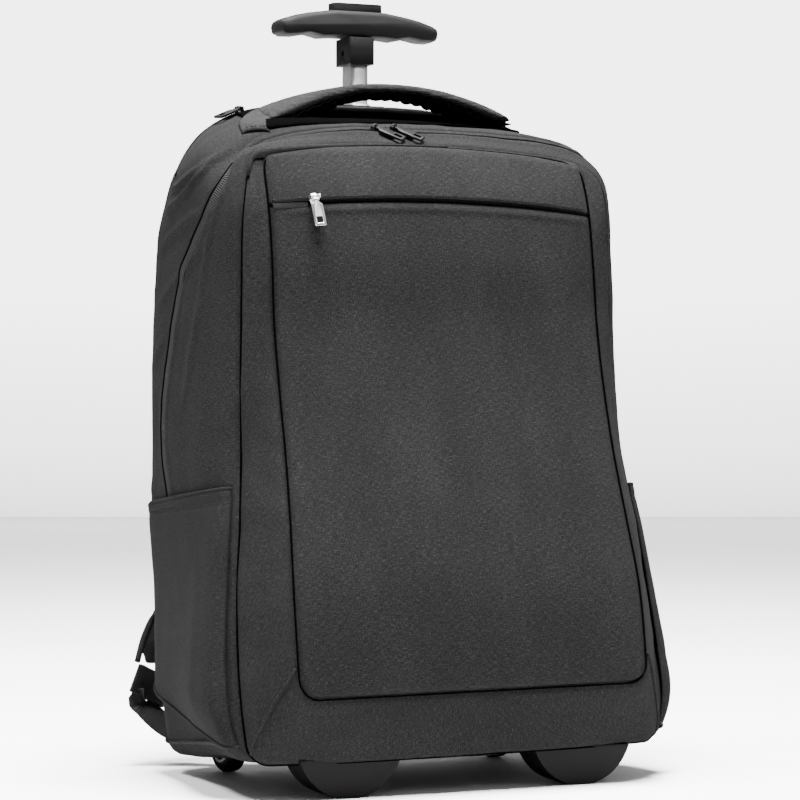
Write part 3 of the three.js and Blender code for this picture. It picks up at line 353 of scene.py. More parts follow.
def curve_through(points, count):
    """Places on a smooth curve through points."""
    points = np.asarray(points, float)
    step = np.arange(len(points), dtype=float)
    at = np.linspace(0, len(points) - 1, count)
    read = [smooth_read({"at": step, "value": column}, "at", "value", at) for column in points.T]
    return np.stack(read, axis=1)


def outline(column, z):
    return smooth_read(OUTLINE, "height", column, (np.asarray(z, float) - FLOOR_GAP) / BAG_HEIGHT)


def forward(column, z):
    return BAG_BACK - BAG_DEPTH * outline(column, z)


# The bag's body. A station is a place from front to back: -1 is the seam round the front panel, 0 the front
# corner, 1 the start of the back corner and 2 the back plane.


def corner_turn(station):
    angle = max(station - 1, 0) * math.pi / 2
    return 1 - math.cos(angle), math.sin(angle)


def half_width(station, z, out=0.0):
    if station < 0:
        return BAG_HALF_WIDTH * outline("seam_half", z) + out
    spread = 1 - (1 - min(station, 1)) ** 2
    half = BAG_HALF_WIDTH * mix(outline("front_half", z), outline("back_half", z), spread)
    roll = SIDE_BULGE * outline("roll", z) * np.interp(station, SIDE_ROLL["station"], SIDE_ROLL["share"])
    return half + roll + out - (BACK_CORNER + out) * corner_turn(station)[0]


def body_top(station):
    if station < 0:
        return FRONT_TOP - PANEL_TOP_DROP
    rise = smooth_read(TOP_RISE, "back", "rise", min(station, 1))
    return FRONT_TOP + FRONT_TOP_DROP * rise - BACK_CORNER * corner_turn(station)[0]


def body_bottom(station):
    if station < 0:
        return FLOOR_GAP + PANEL_BOTTOM
    return mix(FLOOR_GAP, REAR_FLOOR_GAP, min(station, 1)) + BOTTOM_BACK * corner_turn(station)[0]


def body_y(station, z, across, out=0.0):
    if station < 0:
        return forward("seam_forward", z) + PANEL_WALL - out
    under = z < body_bottom(station) + BOTTOM_CORNER
    lead = under * FRONT_LEAD * (1 - np.minimum(np.abs(across), 1) ** 4)
    front = forward("front_forward", z) - lead - 0.4 * out
    return mix(front, CORNER_START, min(station, 1)) + (BACK_CORNER + out) * corner_turn(station)[1]


def shoulder_curve(station, side=1):
    """The powers of the shoulder's curve. The left one has a sharp front corner with a hollow behind it."""
    if station < 0:
        return PANEL_POWERS
    share = min(station, 1)
    powers = mix(np.array(FRONT_POWERS), np.array(BACK_POWERS), np.array([share, share**BACK_POWER_EASE]))
    if side < 0:
        powers = powers * (1 - LEFT_HOLLOW * hump(station - LEFT_HOLLOW_PLACE, LEFT_HOLLOW_REACH))
        powers = powers + LEFT_CORNER * max(1 - station / LEFT_CORNER_REACH, 0)
    return powers


def crown_at(station):
    return mix(FRONT_CROWN, REAR_CROWN, min(max(station, 0), 1))


FLAT_ROWS, TURN_ROWS, SIDE_ROWS, SHOULDER_ROWS = 16, 9, 150, 100


def shoulder_line(station, side, rows):
    """The shoulder from the side to the top middle, in even steps."""
    high = body_top(station)
    across_power, up_power = shoulder_curve(station, side)
    share = np.linspace(0, 1, 300)
    across = np.sort(np.concatenate([share, (1 - share**up_power) ** (1 / across_power)]))[::-1]
    up = (1 - across**across_power) ** (1 / up_power)
    lean = LEFT_LEAN * max(1 - station / LEFT_LEAN_REACH, 0) if side < 0 <= station else 0
    x = (half_width(station, SHOULDER) - lean * up**2) * across
    z = SHOULDER + (high - SHOULDER) * up - crown_at(station) * across**2 * up
    run = np.concatenate([[0], np.cumsum(np.hypot(np.diff(x), np.diff(z)))])
    at = np.linspace(0, run[-1], rows + 1)[1:]
    return np.interp(at, run, x), np.interp(at, run, z)


def sag(across, above):
    """How far the front's lower edge sags, most at its left end."""
    return FRONT_SAG * mix(SAG_RIGHT_SHARE, 1, (1 - across) / 2) * np.clip(1 - above / SAG_HEIGHT, 0, 1)


def half_ring(station, side=1):
    """One side of the outline at a station, from the bottom middle to the top middle."""
    low = body_bottom(station)
    base = PANEL_CORNER if station < 0 else BOTTOM_CORNER
    radius = max(base - base * CORNER_TAPER * corner_turn(station)[0], SMALLEST_CORNER)
    half_low = half_width(station, low + radius)
    flat = np.linspace(0, 1, FLAT_ROWS)
    turn = np.linspace(0, math.pi / 2, TURN_ROWS + 1)[1:-1]
    side_z = np.linspace(low + radius, SHOULDER, SIDE_ROWS)
    shoulder_x, shoulder_z = shoulder_line(station, side, SHOULDER_ROWS)
    x = np.concatenate([
        flat * (half_low - radius),
        half_low - radius + radius * np.sin(turn),
        half_width(station, side_z),
        shoulder_x,
    ])
    z = np.concatenate([
        np.full(FLAT_ROWS, low),
        low + radius - radius * np.cos(turn),
        side_z,
        shoulder_z,
    ])
    y = body_y(station, z, x / half_low)
    z = z - max(1 - max(station, 0) / SAG_REACH, 0) * sag(side * x / half_low, z - low)
    return np.stack([x, y, z], axis=1)


def ring(station):
    """The whole outline, from the bottom middle round the right side, the top and the left side."""
    right = half_ring(station)
    left = half_ring(station, -1)[::-1][1:] * np.array([-1, 1, 1])
    return np.concatenate([right, left])


def top_height(x, y):
    front = forward("front_forward", FRONT_TOP)
    station = (y - front) / (CORNER_START - front)
    across = min(abs(x) / half_width(station, SHOULDER), 1)
    across_power, up_power = shoulder_curve(station, x)
    up = (1 - across**across_power) ** (1 / up_power)
    return SHOULDER + (body_top(station) - SHOULDER) * up - crown_at(station) * across**2 * up


# Meshes


def to_row(points):
    out = np.array(points, float)
    out[..., 1] -= ORIGIN_Y
    return out * MM


def mesh_object(name, points, faces, finish, uv=None):
    """A new piece on the bag. A finish is a material."""
    mesh = bpy.data.meshes.new(name)
    mesh.from_pydata(to_row(points).tolist(), [], [tuple(map(int, f)) for f in faces])
    mesh.polygons.foreach_set("use_smooth", [True] * len(mesh.polygons))
    if uv is not None:
        corners = np.empty(len(mesh.loops), int)
        mesh.loops.foreach_get("vertex_index", corners)
        mesh.uv_layers.new(name="UVMap").data.foreach_set("uv", (np.asarray(uv)[corners] * MM).ravel())
    mesh.materials.append(finish[0])
    obj = bpy.data.objects.new(name, mesh)
    bpy.context.scene.collection.objects.link(obj)
    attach(obj, "bag")
    return obj


def grid_normals(grid):
    normal = np.cross(np.gradient(grid, axis=0), np.gradient(grid, axis=1))
    normal /= np.maximum(np.linalg.norm(normal, axis=2, keepdims=True), 1e-9)
    return normal if np.sum((grid - np.array(INSIDE)) * normal) > 0 else -normal


def lengths_along(grid, axis):
    step = np.linalg.norm(np.diff(grid, axis=axis), axis=2)
    total = np.cumsum(step, axis=axis)
    pad = [(0, 0), (0, 0)]
    pad[axis] = (1, 0)
    return np.pad(total, pad)


def panel(name, grid, finish, wall=CLOTH_WALL, keep=None, swap=False):
    """A sewn panel from a grid of points on its outer face, with its cloth's thickness behind them."""
    rows, columns = grid.shape[:2]
    index = np.arange(rows * columns).reshape(rows, columns)
    quads = np.stack([index[:-1, :-1], index[:-1, 1:], index[1:, 1:], index[1:, :-1]], axis=2)
    cross = np.cross(np.gradient(grid, axis=1), np.gradient(grid, axis=0))
    if np.sum((grid - np.array(INSIDE)) * cross) < 0:
        quads = quads[:, :, ::-1]
    chosen = quads.reshape(-1, 4) if keep is None else quads[keep]
    u = np.broadcast_to(lengths_along(grid, 1)[rows // 2], (rows, columns))
    v = lengths_along(grid, 0)
    uv = np.stack([v, u] if swap else [u, v], axis=2).reshape(-1, 2)
    obj = mesh_object(name, grid.reshape(-1, 3), chosen, finish, uv)
    work = bmesh.new()
    work.from_mesh(obj.data)
    bmesh.ops.delete(work, geom=[v for v in work.verts if not v.link_faces], context="VERTS")
    bmesh.ops.remove_doubles(work, verts=work.verts, dist=0.01 * MM)
    work.to_mesh(obj.data)
    work.free()
    thick = obj.modifiers.new("cloth", "SOLIDIFY")
    thick.thickness = wall * MM
    thick.offset = -1
    return obj


def directions(path):
    along = np.gradient(path, axis=0)
    return along / np.maximum(np.linalg.norm(along, axis=1, keepdims=True), 1e-9)


def squared_to(along, vectors):
    """Vectors turned square to a path's directions, at length 1."""
    flat = vectors - np.sum(vectors * along, axis=1, keepdims=True) * along
    return flat / np.linalg.norm(flat, axis=1, keepdims=True)


def rounded_share(angle, power):
    return np.sign(angle) * np.abs(angle) ** power


def sweep(name, path, across, half_wide, half_thick, finish, sides=24, powers=(0.35, 0.7)):
    """A closed band along a path. half_wide and half_thick may change along it."""
    path = np.asarray(path, float)
    count = len(path)
    along = directions(path)
    across = squared_to(along, np.asarray(across, float) * np.ones((count, 3)))
    normal = np.cross(along, across)
    angle = 2 * math.pi * (np.arange(sides) + 0.5) / sides
    wide = rounded_share(np.cos(angle), powers[0])[None, :] * (np.ones(count) * half_wide)[:, None]
    thick = rounded_share(np.sin(angle), powers[1])[None, :] * (np.ones(count) * half_thick)[:, None]
    grid = path[:, None, :] + wide[:, :, None] * across[:, None, :] + thick[:, :, None] * normal[:, None, :]
    index = np.arange(count * sides).reshape(count, sides)
    around = np.roll(index, -1, axis=1)
    faces = np.stack([index[:-1], around[:-1], around[1:], index[1:]], axis=2).reshape(-1, 4).tolist()
    faces += [index[0][::-1].tolist(), index[-1].tolist()]
    run = run_along(path)
    girth = angle / (2 * math.pi) * 4 * np.max(half_wide)
    uv = np.stack(np.broadcast_arrays(girth[None, :], run[:, None]), axis=2).reshape(-1, 2)
    obj = mesh_object(name, grid.reshape(-1, 3), faces, finish, uv)
    work = bmesh.new()
    work.from_mesh(obj.data)
    bmesh.ops.recalc_face_normals(work, faces=work.faces)
    work.to_mesh(obj.data)
    work.free()
    return obj


def cordlike(name, path, radius, finish, sides=10):
    """A thin round piping along a path."""
    along = directions(np.asarray(path, float))
    upright = np.where(np.abs(along[:, 2:3]) > 0.8, np.array([[0, 1, 0]]), np.array([[0, 0, 1]]))
    across = np.cross(along, upright)
    return sweep(name, path, across, radius, radius, finish, sides, (1, 1))


def spaced(path, other, pitch):
    """Places at even steps along a path, with other vectors read at the same places."""
    run = run_along(path)
    at = np.arange(pitch / 2, run[-1], pitch)
    return [np.stack([np.interp(at, run, line) for line in values.T], axis=1) for values in (path, other)]


def bars(name, path, normal, pitch, size, finish):
    """Small tapered blocks in a row along a path, such as coil teeth or stitches.

    The size is along the path, across it and up.
    """
    places, up = spaced(path, normal, pitch)
    along = directions(places)
    up = squared_to(along, up)
    side = np.cross(along, up)
    corners, faces = [], []
    for level, share in ((-0.5, 1.0), (0.5, 1.0), (1.0, 0.55)):
        for a, b in ((-1, -1), (1, -1), (1, 1), (-1, 1)):
            corners.append((a * share / 2, b * mix(1, share, 0.3) / 2, level))
    long, wide, high = size
    blocks = [places + along * a * long + side * b * wide + up * level * high for a, b, level in corners]
    points = np.stack(blocks, axis=1)
    for i in range(len(places)):
        base = i * len(corners)
        faces.append([base + k for k in (3, 2, 1, 0)])
        faces.append([base + k for k in (8, 9, 10, 11)])
        for level in (0, 4):
            for k in range(4):
                m = (k + 1) % 4
                faces.append([base + level + k, base + level + m, base + level + m + 4, base + level + k + 4])
    return mesh_object(name, points.reshape(-1, 3), faces, finish)


def distance_to_line(points, line):
    """How far points in a plane lie from a broken line, and on which side."""
    best = np.full(points.shape[:-1], 1e9)
    side = np.zeros(points.shape[:-1])
    for a, b in zip(line[:-1], line[1:]):
        edge = b - a
        share = np.clip(((points - a) @ edge) / (edge @ edge), 0, 1)
        away = points - a - share[..., None] * edge
        gap = np.linalg.norm(away, axis=-1)
        turn = np.sign(edge[0] * away[..., 1] - edge[1] * away[..., 0])
        side = np.where(gap < best, turn, side)
        best = np.minimum(best, gap)
    return best, side


def ripples(grid, waves):
    """Gentle unevenness, the same in every run."""
    total = 0
    for height, size, seed in WAVES[waves]:
        shift = Vector((seed * 7.3, seed * 3.1, seed * 5.7))
        values = [noise.noise(Vector(point) / size + shift) for point in grid.reshape(-1, 3)]
        total = total + height * np.array(values).reshape(grid.shape[:-1])
    return total


# Materials


def feed(tree, made, inputs):
    """Links or sets a node's inputs."""
    for key, value in inputs.items():
        if isinstance(value, bpy.types.NodeSocket):
            tree.links.new(value, made.inputs[key])
        else:
            made.inputs[key].default_value = value


def node(tree, kind, inputs, **settings):
    """A new node's first output."""
    made = tree.nodes.new(kind)
    for key, value in settings.items():
        setattr(made, key, value)
    feed(tree, made, inputs)
    return made.outputs[0]


def coordinates(tree, kind="Object"):
    return tree.nodes.new("ShaderNodeTexCoord").outputs[kind]


def added(tree, first, second):
    return node(tree, "ShaderNodeMath", {0: first, 1: second}, operation="ADD")


def bumped(tree, height, strength, depth):
    """A bump of a real depth in metres."""
    return node(tree, "ShaderNodeBump", {"Height": height, "Strength": strength, "Distance": depth})


def axis_of(tree, vector, axis):
    parts = tree.nodes.new("ShaderNodeSeparateXYZ")
    tree.links.new(vector, parts.inputs["Vector"])
    return parts.outputs[axis]


def ramp(tree, source, stops):
    made = tree.nodes.new("ShaderNodeValToRGB")
    tree.links.new(source, made.inputs["Fac"])
    elements = made.color_ramp.elements
    while len(elements) < len(stops):
        elements.new(0.5)
    for element, (place, shade) in zip(elements, stops):
        element.position = place
        element.color = (shade, shade, shade, 1)
    return made.outputs["Color"]


def new_material(name):
    made = bpy.data.materials.new(name)
    made.use_nodes = True
    tree = made.node_tree
    return made, tree, tree.nodes["Principled BSDF"]


def scaled_noise(tree, place, scale, detail=2.0, roughness=0.55):
    spread = scale if isinstance(scale, tuple) else (scale, scale, scale)
    place = node(tree, "ShaderNodeMapping", {"Vector": place, "Scale": spread})
    numbers = {"Scale": 1.0, "Detail": detail, "Roughness": roughness}
    return node(tree, "ShaderNodeTexNoise", {"Vector": place, **numbers})


def cloth_material(name, shades, kind="UV", thread=820, sheen=0.03, gloss=0.05, relief=0.5):
    """Heather cloth: short pale and dark threads both ways, fine grain, slow mottling and a thread bump."""
    made, tree, shader = new_material(name)
    place = coordinates(tree, kind)
    weft = scaled_noise(tree, place, (thread * 0.3, thread * 2.4, thread), 2)
    warp = scaled_noise(tree, place, (thread * 2.4, thread * 0.5, thread), 2)
    grain = scaled_noise(tree, place, thread * 1.7, 3, 0.75)
    slow = scaled_noise(tree, place, (22, 9, 14), 2)
    mottle = node(tree, "ShaderNodeMapRange", {"Value": slow, "To Min": 0.38, "To Max": 0.62})
    fine = added(tree, added(tree, weft, warp), grain)
    whole = added(tree, fine, mottle)
    share = node(tree, "ShaderNodeMapRange", {"Value": whole, "From Min": 1.4, "From Max": 2.6})
    feed(tree, shader, {
        "Base Color": ramp(tree, share, list(zip((0.0, 0.5, 1.0), shades))),
        "Roughness": 0.95,
        "Specular IOR Level": gloss,
        "Sheen Weight": sheen,
        "Sheen Roughness": 0.45,
        "Normal": bumped(tree, fine, relief, 0.0005),
    })
    return made


def ribbed_material(name, shades, pitch):
    """Woven tape or webbing: fine ribs across it, with grain in the threads."""
    made, tree, shader = new_material(name)
    place = coordinates(tree, "UV")
    turns = 2 * math.pi / (pitch * MM)
    waves = node(tree, "ShaderNodeMapping", {"Vector": place, "Scale": (turns, turns, turns)})
    rib = node(tree, "ShaderNodeMath", {0: axis_of(tree, waves, "Y")}, operation="SINE")
    both = added(tree, rib, scaled_noise(tree, place, 900, 3, 0.7))
    share = node(tree, "ShaderNodeMapRange", {"Value": both, "From Min": -0.8, "From Max": 1.9})
    feed(tree, shader, {
        "Base Color": ramp(tree, share, list(zip((0.0, 1.0), shades))),
        "Roughness": 0.9,
        "Specular IOR Level": 0.08,
        "Normal": bumped(tree, both, 0.6, 0.0004),
    })
    return made


def mesh_material(name, shades, cell):
    """Spacer mesh: small dark holes in a knitted face."""
    made, tree, shader = new_material(name)
    spots = node(tree, "ShaderNodeMapping", {"Vector": coordinates(tree), "Scale": (1 / (cell * MM),) * 3})
    cells = node(tree, "ShaderNodeTexVoronoi", {"Vector": spots, "Scale": 1.0, "Randomness": 0.25})
    feed(tree, shader, {
        "Base Color": ramp(tree, cells, list(zip((0.18, 0.42), shades))),
        "Roughness": 0.95,
        "Sheen Weight": 0.2,
        "Normal": bumped(tree, cells, 0.7, 0.0008),
    })
    return made


def rough_range(tree, source, rough, below):
    """A roughness that changes over the surface, from a little below its middle to 0.1 above it."""
    return node(tree, "ShaderNodeMapRange", {
        "Value": source, "From Min": 0.3, "From Max": 0.7, "To Min": rough - below, "To Max": rough + 0.1,
    })


def plastic_material(name, shades, rough, grain=900, relief=0.25, gloss=0.15):
    """Moulded plastic or rubber: a fine spark-eroded grain, faint scuffs and uneven sheen."""
    made, tree, shader = new_material(name)
    place = coordinates(tree)
    fine = scaled_noise(tree, place, grain, 2, 0.6)
    wear = scaled_noise(tree, place, (35, 35, 160), 4, 0.7)
    feed(tree, shader, {
        "Base Color": ramp(tree, wear, list(zip((0.3, 0.75), shades))),
        "Roughness": rough_range(tree, wear, rough, 0.08),
        "Specular IOR Level": gloss,
        "Normal": bumped(tree, fine, relief, 0.0003),
    })
    return made


def metal_material(name, shades, rough, stretch=(600, 600, 30)):
    """Brushed or plated metal: drawn lines, small dents and changing gloss."""
    made, tree, shader = new_material(name)
    place = coordinates(tree)
    lines = scaled_noise(tree, place, stretch, 3, 0.6)
    dents = scaled_noise(tree, place, 120, 2)
    feed(tree, shader, {
        "Base Color": ramp(tree, lines, list(zip((0.25, 0.75), shades))),
        "Metallic": 1.0,
        "Roughness": rough_range(tree, dents, rough, 0.06),
        "Normal": bumped(tree, lines, 0.1, 0.0002),
    })
    return made


# Finishes, with their slots
heather = (cloth_material("heather_cloth", (0.0021, 0.0067, 0.027), sheen=0.0, gloss=0.02), "fabric")
pocket_heather = (cloth_material("pocket_cloth", (0.002, 0.0062, 0.023), sheen=0.0, gloss=0.02), "fabric")
handle_heather = (
    cloth_material("handle_cloth", (0.0026, 0.0084, 0.034), "Object", sheen=0.01, gloss=0.03), "fabric",
)
strap_cloth = (cloth_material("strap_cloth", (0.003, 0.0085, 0.022), "Object", 900), "strap_fabric")
binding = (ribbed_material("edge_binding", (0.002, 0.008), 1.1), "webbing")
webbing = (ribbed_material("webbing_weave", (0.003, 0.012), 1.5), "webbing")
tape = (ribbed_material("zip_tape_weave", (0.001, 0.004), 1.0), "zip_tape")
edge_tape = (tape[0], "fabric")
side_tape = (ribbed_material("side_zip_weave", (0.003, 0.0105), 1.6), "zip_tape")
coil = (plastic_material("zip_coil", (0.0008, 0.002), 0.6, gloss=0.05), "zip_tape")
# Near-black cords: painted shade in the seam creases, and painted shadow beside the zips and under the top
# roll
painted_seam_shadow = (plastic_material("seam_shadow_thread", (0.0004, 0.0009), 0.9, gloss=0.0), "fabric")
piping_black = (painted_seam_shadow[0], "webbing")
thread_dark = (plastic_material("sewing_thread", (0.004, 0.01), 0.8, gloss=0.05), "fabric")
spacer = (mesh_material("spacer_mesh", (0.0015, 0.009), 2.4), "mesh_fabric")
# Black cloth for the handle's underside and the top panel; on the top panel it is also painted shadow under
# the handle
black_mesh = (
    cloth_material("black_cloth_and_painted_shadow", (0.0004, 0.0009, 0.0025), thread=900, sheen=0.0, gloss=0.0, relief=1.0),
    "mesh_fabric",
)
lining_and_painted_shadow = (black_mesh[0], "zip_tape")
hard_black = (plastic_material("black_plastic", (0.002, 0.004), 0.5, gloss=0.12), "black_plastic")
foot_face = (plastic_material("foot_plastic", (0.0022, 0.0042), 0.6, 500, gloss=0.06), "black_plastic")
rubber = (plastic_material("black_rubber", (0.0008, 0.002), 0.85, 700, 0.4, 0.03), "tyre")
grip_soft = (plastic_material("grip_plastic", (0.0026, 0.005), 0.6, 1200, 0.35, 0.07), "grip_plastic")
black_metal = (metal_material("black_zip_metal", (0.004, 0.016), 0.48, (200, 200, 200)), "black_metal")
silver = (metal_material("silver_zip_metal", (0.72, 0.9), 0.22, (150, 150, 500)), "silver_metal")
aluminium = (metal_material("tube_aluminium", (0.78, 0.93), 0.3), "aluminium")

# The cloth body

STATIONS = spans((0, 0.06, 7), (0.06, 1, 65), (1, 2, 12))
MAIN_Y, MAIN_Z = BAG_BACK - BAG_DEPTH * MAIN_ZIP["forward"], FLOOR_GAP + BAG_HEIGHT * MAIN_ZIP["height"]


def main_zip_line():
    """The main zip's middle on the bag's side, in Y and Z. Its tape's back edge is on the table's line."""
    y, z = curve_through(np.stack([MAIN_Y, MAIN_Z], axis=1), 60).T
    ahead = MAIN_ZIP_WIDTH / 2 * np.clip((BAG_TOP - ZIP_BEND_BELOW_TOP - z) / ZIP_BEND_REACH, 0, 1)
    return np.stack([y - ahead, z], axis=1)


sleeve_base = np.stack([ring(s) for s in STATIONS])
sleeve_normal = grid_normals(sleeve_base)
zip_line = main_zip_line()


def folded(base, normal):
    """The body's cloth with its seams, zip grooves, folds and unevenness."""
    side_plane = base[:, :, 1:]
    gap, turn = distance_to_line(side_plane, zip_line)
    move = -dent(lengths_along(base, 0), SEAM_DIP) - dent(gap, ZIP_DIP)
    move += np.where(turn > 0, *MAIN_FLAP_HEIGHTS) * hump(gap - MAIN_FLAP_OUT, MAIN_FLAP_WIDTH)
    rear_gap = np.abs(base[:, :, 1] - REAR_ZIP_Y)
    on_top = np.clip((base[:, :, 2] - (BAG_TOP - REAR_ZIP_DOWN)) / 4, 0, 1)
    move += on_top * (dent(rear_gap - REAR_FLAP_OUT, REAR_FLAP) - dent(rear_gap, REAR_ZIP_DIP))
    side = np.where(base[:, :, 0] < 0, 1.0, RIGHT_FOLD_SHARE)
    wall = np.clip((np.abs(base[:, :, 0]) - FOLD_START_X) / FOLD_FADE, 0, 1)
    for line, width, height in SIDE_FOLDS:
        line = np.array(line, float)
        away, _ = distance_to_line(side_plane, line)
        for end in (line[0], line[-1]):
            height = height * (1 - hump(np.linalg.norm(side_plane - end, axis=2), FOLD_END))
        hollow = FOLD_HOLLOW * hump(away, width * FOLD_HOLLOW_WIDTH)
        move += side * wall * height * (hump(away, width) - hollow)
    foot_line = FLOOR_GAP + mix(FOOT_FRONT, FOOT_BACK, (base[:, :, 1] - 20) / 180)
    under_foot = np.clip((foot_line - base[:, :, 2]) / 5, 0, 1)
    at_side = np.clip((np.abs(base[:, :, 0]) - 130) / 12, 0, 1)
    move -= POCKET_FOOT_TUCK * under_foot * at_side
    move += ripples(base, "body")
    return base + normal * move[:, :, None]


sleeve_grid = folded(sleeve_base, sleeve_normal)


def cut_away(grid):
    """Which faces of the sleeve stay: the port and the wheel wells are open."""
    middle = (grid[:-1, :-1] + grid[1:, :-1] + grid[:-1, 1:] + grid[1:, 1:]) / 4
    x, y, z = middle[..., 0], middle[..., 1], middle[..., 2]
    port = (np.abs(x) < PORT_CUT[0]) & (np.abs(y - TUBE_Y) < PORT_CUT[1]) & (z > SHOULDER)
    well = (np.abs(np.abs(x) - WHEEL_X) < WELL_CUT[0]) & (np.abs(y - WHEEL_Y) < WELL_CUT[1])
    return ~(port | (well & (z < WELL_CUT[2])))


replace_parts(panel("bag_sleeve", sleeve_grid, heather, keep=cut_away(sleeve_grid), swap=True), "bag_shell")


def back_panel():
    last = ring(STATIONS[-1])
    side = last[FLAT_ROWS - 1: len(last) // 2 + 1]
    z = np.linspace(side[0, 2] + 0.3, side[-1, 2] - 0.5, 90)
    half = np.interp(z, side[:, 2], side[:, 0])
    across = np.linspace(-1, 1, 60)
    x = half[:, None] * across[None, :]
    y = np.full_like(x, BAG_BACK - 0.4)
    grid = np.stack([x, y, np.broadcast_to(z[:, None], x.shape)], axis=2)
    grid[:, :, 1] += ripples(grid, "back")
    panel("bag_back", grid, heather, 1.2)


back_panel()

GUSSET_ROWS = spans((0, 0.12, 5), (0.12, 0.88, 12), (0.88, 1, 5))
seam_ring = ring(-1) - np.array([0, 1.6, 0])
front_ring = ring(0)
gusset_base = seam_ring[None] + (front_ring - seam_ring)[None] * GUSSET_ROWS[:, None, None]
gusset_normal = grid_normals(gusset_base)
gusset_width = np.linalg.norm(front_ring - seam_ring, axis=1)


def gusset_grid():
    room = np.clip(gusset_width / 25, 0, 1)[None, :]
    from_seam = GUSSET_ROWS[:, None] * gusset_width[None, :]
    to_corner = (1 - GUSSET_ROWS[:, None]) * gusset_width[None, :]
    move = GUSSET_SWELL * room * (1 - (2 * GUSSET_ROWS[:, None] - 1) ** 4)
    move -= room * (dent(from_seam, GUSSET_SEAM_DIP) + dent(to_corner, GUSSET_CORNER_DIP))
    move += room * ripples(gusset_base, "gusset")
    return gusset_base + gusset_normal * move[:, :, None]


panel("front_gusset", gusset_grid(), heather, swap=True)

# Front panel


def panel_point(across, up, out):
    low = FLOOR_GAP + PANEL_BOTTOM
    edge = mix(low, low + PANEL_SPAN, up)
    rise = np.minimum((edge - low) / PANEL_CORNER, 1)
    corner = PANEL_CORNER * (1 - np.sqrt(np.maximum(1 - (1 - rise) ** 2, 0)))
    half = BAG_HALF_WIDTH * outline("seam_half", edge) - corner
    crowned = edge + FRONT_CROWN * (1 - across**2) * up**2
    swell = (1 - across**4) * (1 - (2 * up - 1) ** 4) * mix(1.1, 0.8, up)
    y = forward("seam_forward", edge) - out - PANEL_BULGE * swell
    return np.stack([half * across, y, crowned - sag(across, edge - low)], axis=-1)


def edge_dip(across, up, shape):
    edge = FLOOR_GAP + PANEL_BOTTOM + PANEL_SPAN * up
    half = BAG_HALF_WIDTH * outline("seam_half", edge)
    return dent(half * (1 - np.abs(across)), shape)


def panel_grid(ups, across, out):
    up, side = np.meshgrid(ups, across, indexing="ij")
    return panel_point(side, up, out(side, up))


# Places across the panel, closer together at its sides
PACKING = math.pi / 2 * 0.94
ACROSS = np.sin(np.linspace(-1, 1, 121) * PACKING) / math.sin(PACKING)
zip_low = ZIP_UP - ZIP_GAP / 2 / PANEL_SPAN
zip_high = ZIP_UP + ZIP_GAP / 2 / PANEL_SPAN


def lower_out(across, up):
    base = panel_point(across, up, 0 * up)
    out = -edge_dip(across, up, PANEL_EDGE_DIP) - dent(up * PANEL_SPAN, PANEL_FOOT_DIP)
    below = (zip_low - up) * PANEL_SPAN
    out -= dent(below, PANEL_ZIP_DIP)
    out += dent(below - PANEL_SWELL_DOWN, PANEL_ZIP_SWELL) * (1 - across**6)
    return out + ripples(base, "front")


panel_ups = spans((0, 0.03, 8), (0.03, zip_low - 0.03, 90), (zip_low - 0.03, zip_low, 10))
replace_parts(panel("front_pocket_panel", panel_grid(panel_ups, ACROSS, lower_out), heather), "front_panel")


def band_out(across, up):
    base = panel_point(across, up, 0 * up)
    share = np.clip((up - zip_high) / (1 - zip_high), 0, 1)
    out = BAND_LIFT * (1 - share**2) * (1 - across**8) + 0.2
    out -= edge_dip(across, up, BAND_EDGE_DIP) + dent((1 - up) * PANEL_SPAN, BAND_TOP_DIP)
    out -= dent((up - band_low) * PANEL_SPAN, BAND_LIP_DIP) * (1 - across**8)
    return out + ripples(base, "band")


band_low = zip_high - BAND_LIP / PANEL_SPAN
band_ups = spans((band_low, zip_high, 8), (zip_high, 1, 26))
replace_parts(panel("front_zip_band", panel_grid(band_ups, ACROSS, band_out), heather), "front_band")

tape_ups = np.linspace(zip_low - 0.006, zip_high + 0.012, 8)
tape_grid = panel_grid(tape_ups, ACROSS * 0.985, lambda across, up: FRONT_TAPE_OUT + 0 * up)
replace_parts(panel("front_zip_tape", tape_grid, tape, 0.8), "front_zip")


def left_end(obj):
    """How far left a piece of the frame reaches, in millimetres."""
    return min((obj.matrix_world @ Vector(corner)).x for corner in obj.bound_box) / MM


slider_half = BAG_HALF_WIDTH * outline("seam_half", FRONT_TOP - ZIP_BELOW_TOP)
slider_across = left_end(nodes["front_zip_slider"]) / slider_half
closed_ups = np.linspace(zip_low - 0.012, zip_high - 0.001, 18)


def closed_out(across, up):
    """The cloth drawn together over the zip's closed end, left of the slider."""
    base = panel_point(across, up, 0 * up)
    tucked = dent((up - closed_ups[0]) * PANEL_SPAN, CLOSED_TUCK)
    return 0.8 - tucked - dent((up - ZIP_UP) * PANEL_SPAN, CLOSED_LINE) + ripples(base, "closed end")


closed_grid = panel_grid(closed_ups, np.linspace(-0.982, slider_across, 24), closed_out)
panel("front_zip_closed_end", closed_grid, heather, 0.9)
coil_path = panel_point(np.linspace(-0.97, 0.97, 200), np.full(200, ZIP_UP), np.full(200, FRONT_COIL_OUT))
ahead = np.tile([0.0, -1.0, 0.0], (200, 1))
bars("front_zip_coil", coil_path, ahead, COIL_PITCH, FRONT_COIL, coil)

# Zips over the top and down the sides


def on_sleeve(grid, station, column):
    """A place on the sleeve's grid at a station between its rows."""
    row = np.interp(station, STATIONS, np.arange(len(STATIONS)))
    low = int(min(row, len(STATIONS) - 2))
    return mix(grid[low, column], grid[low + 1, column], row - low)


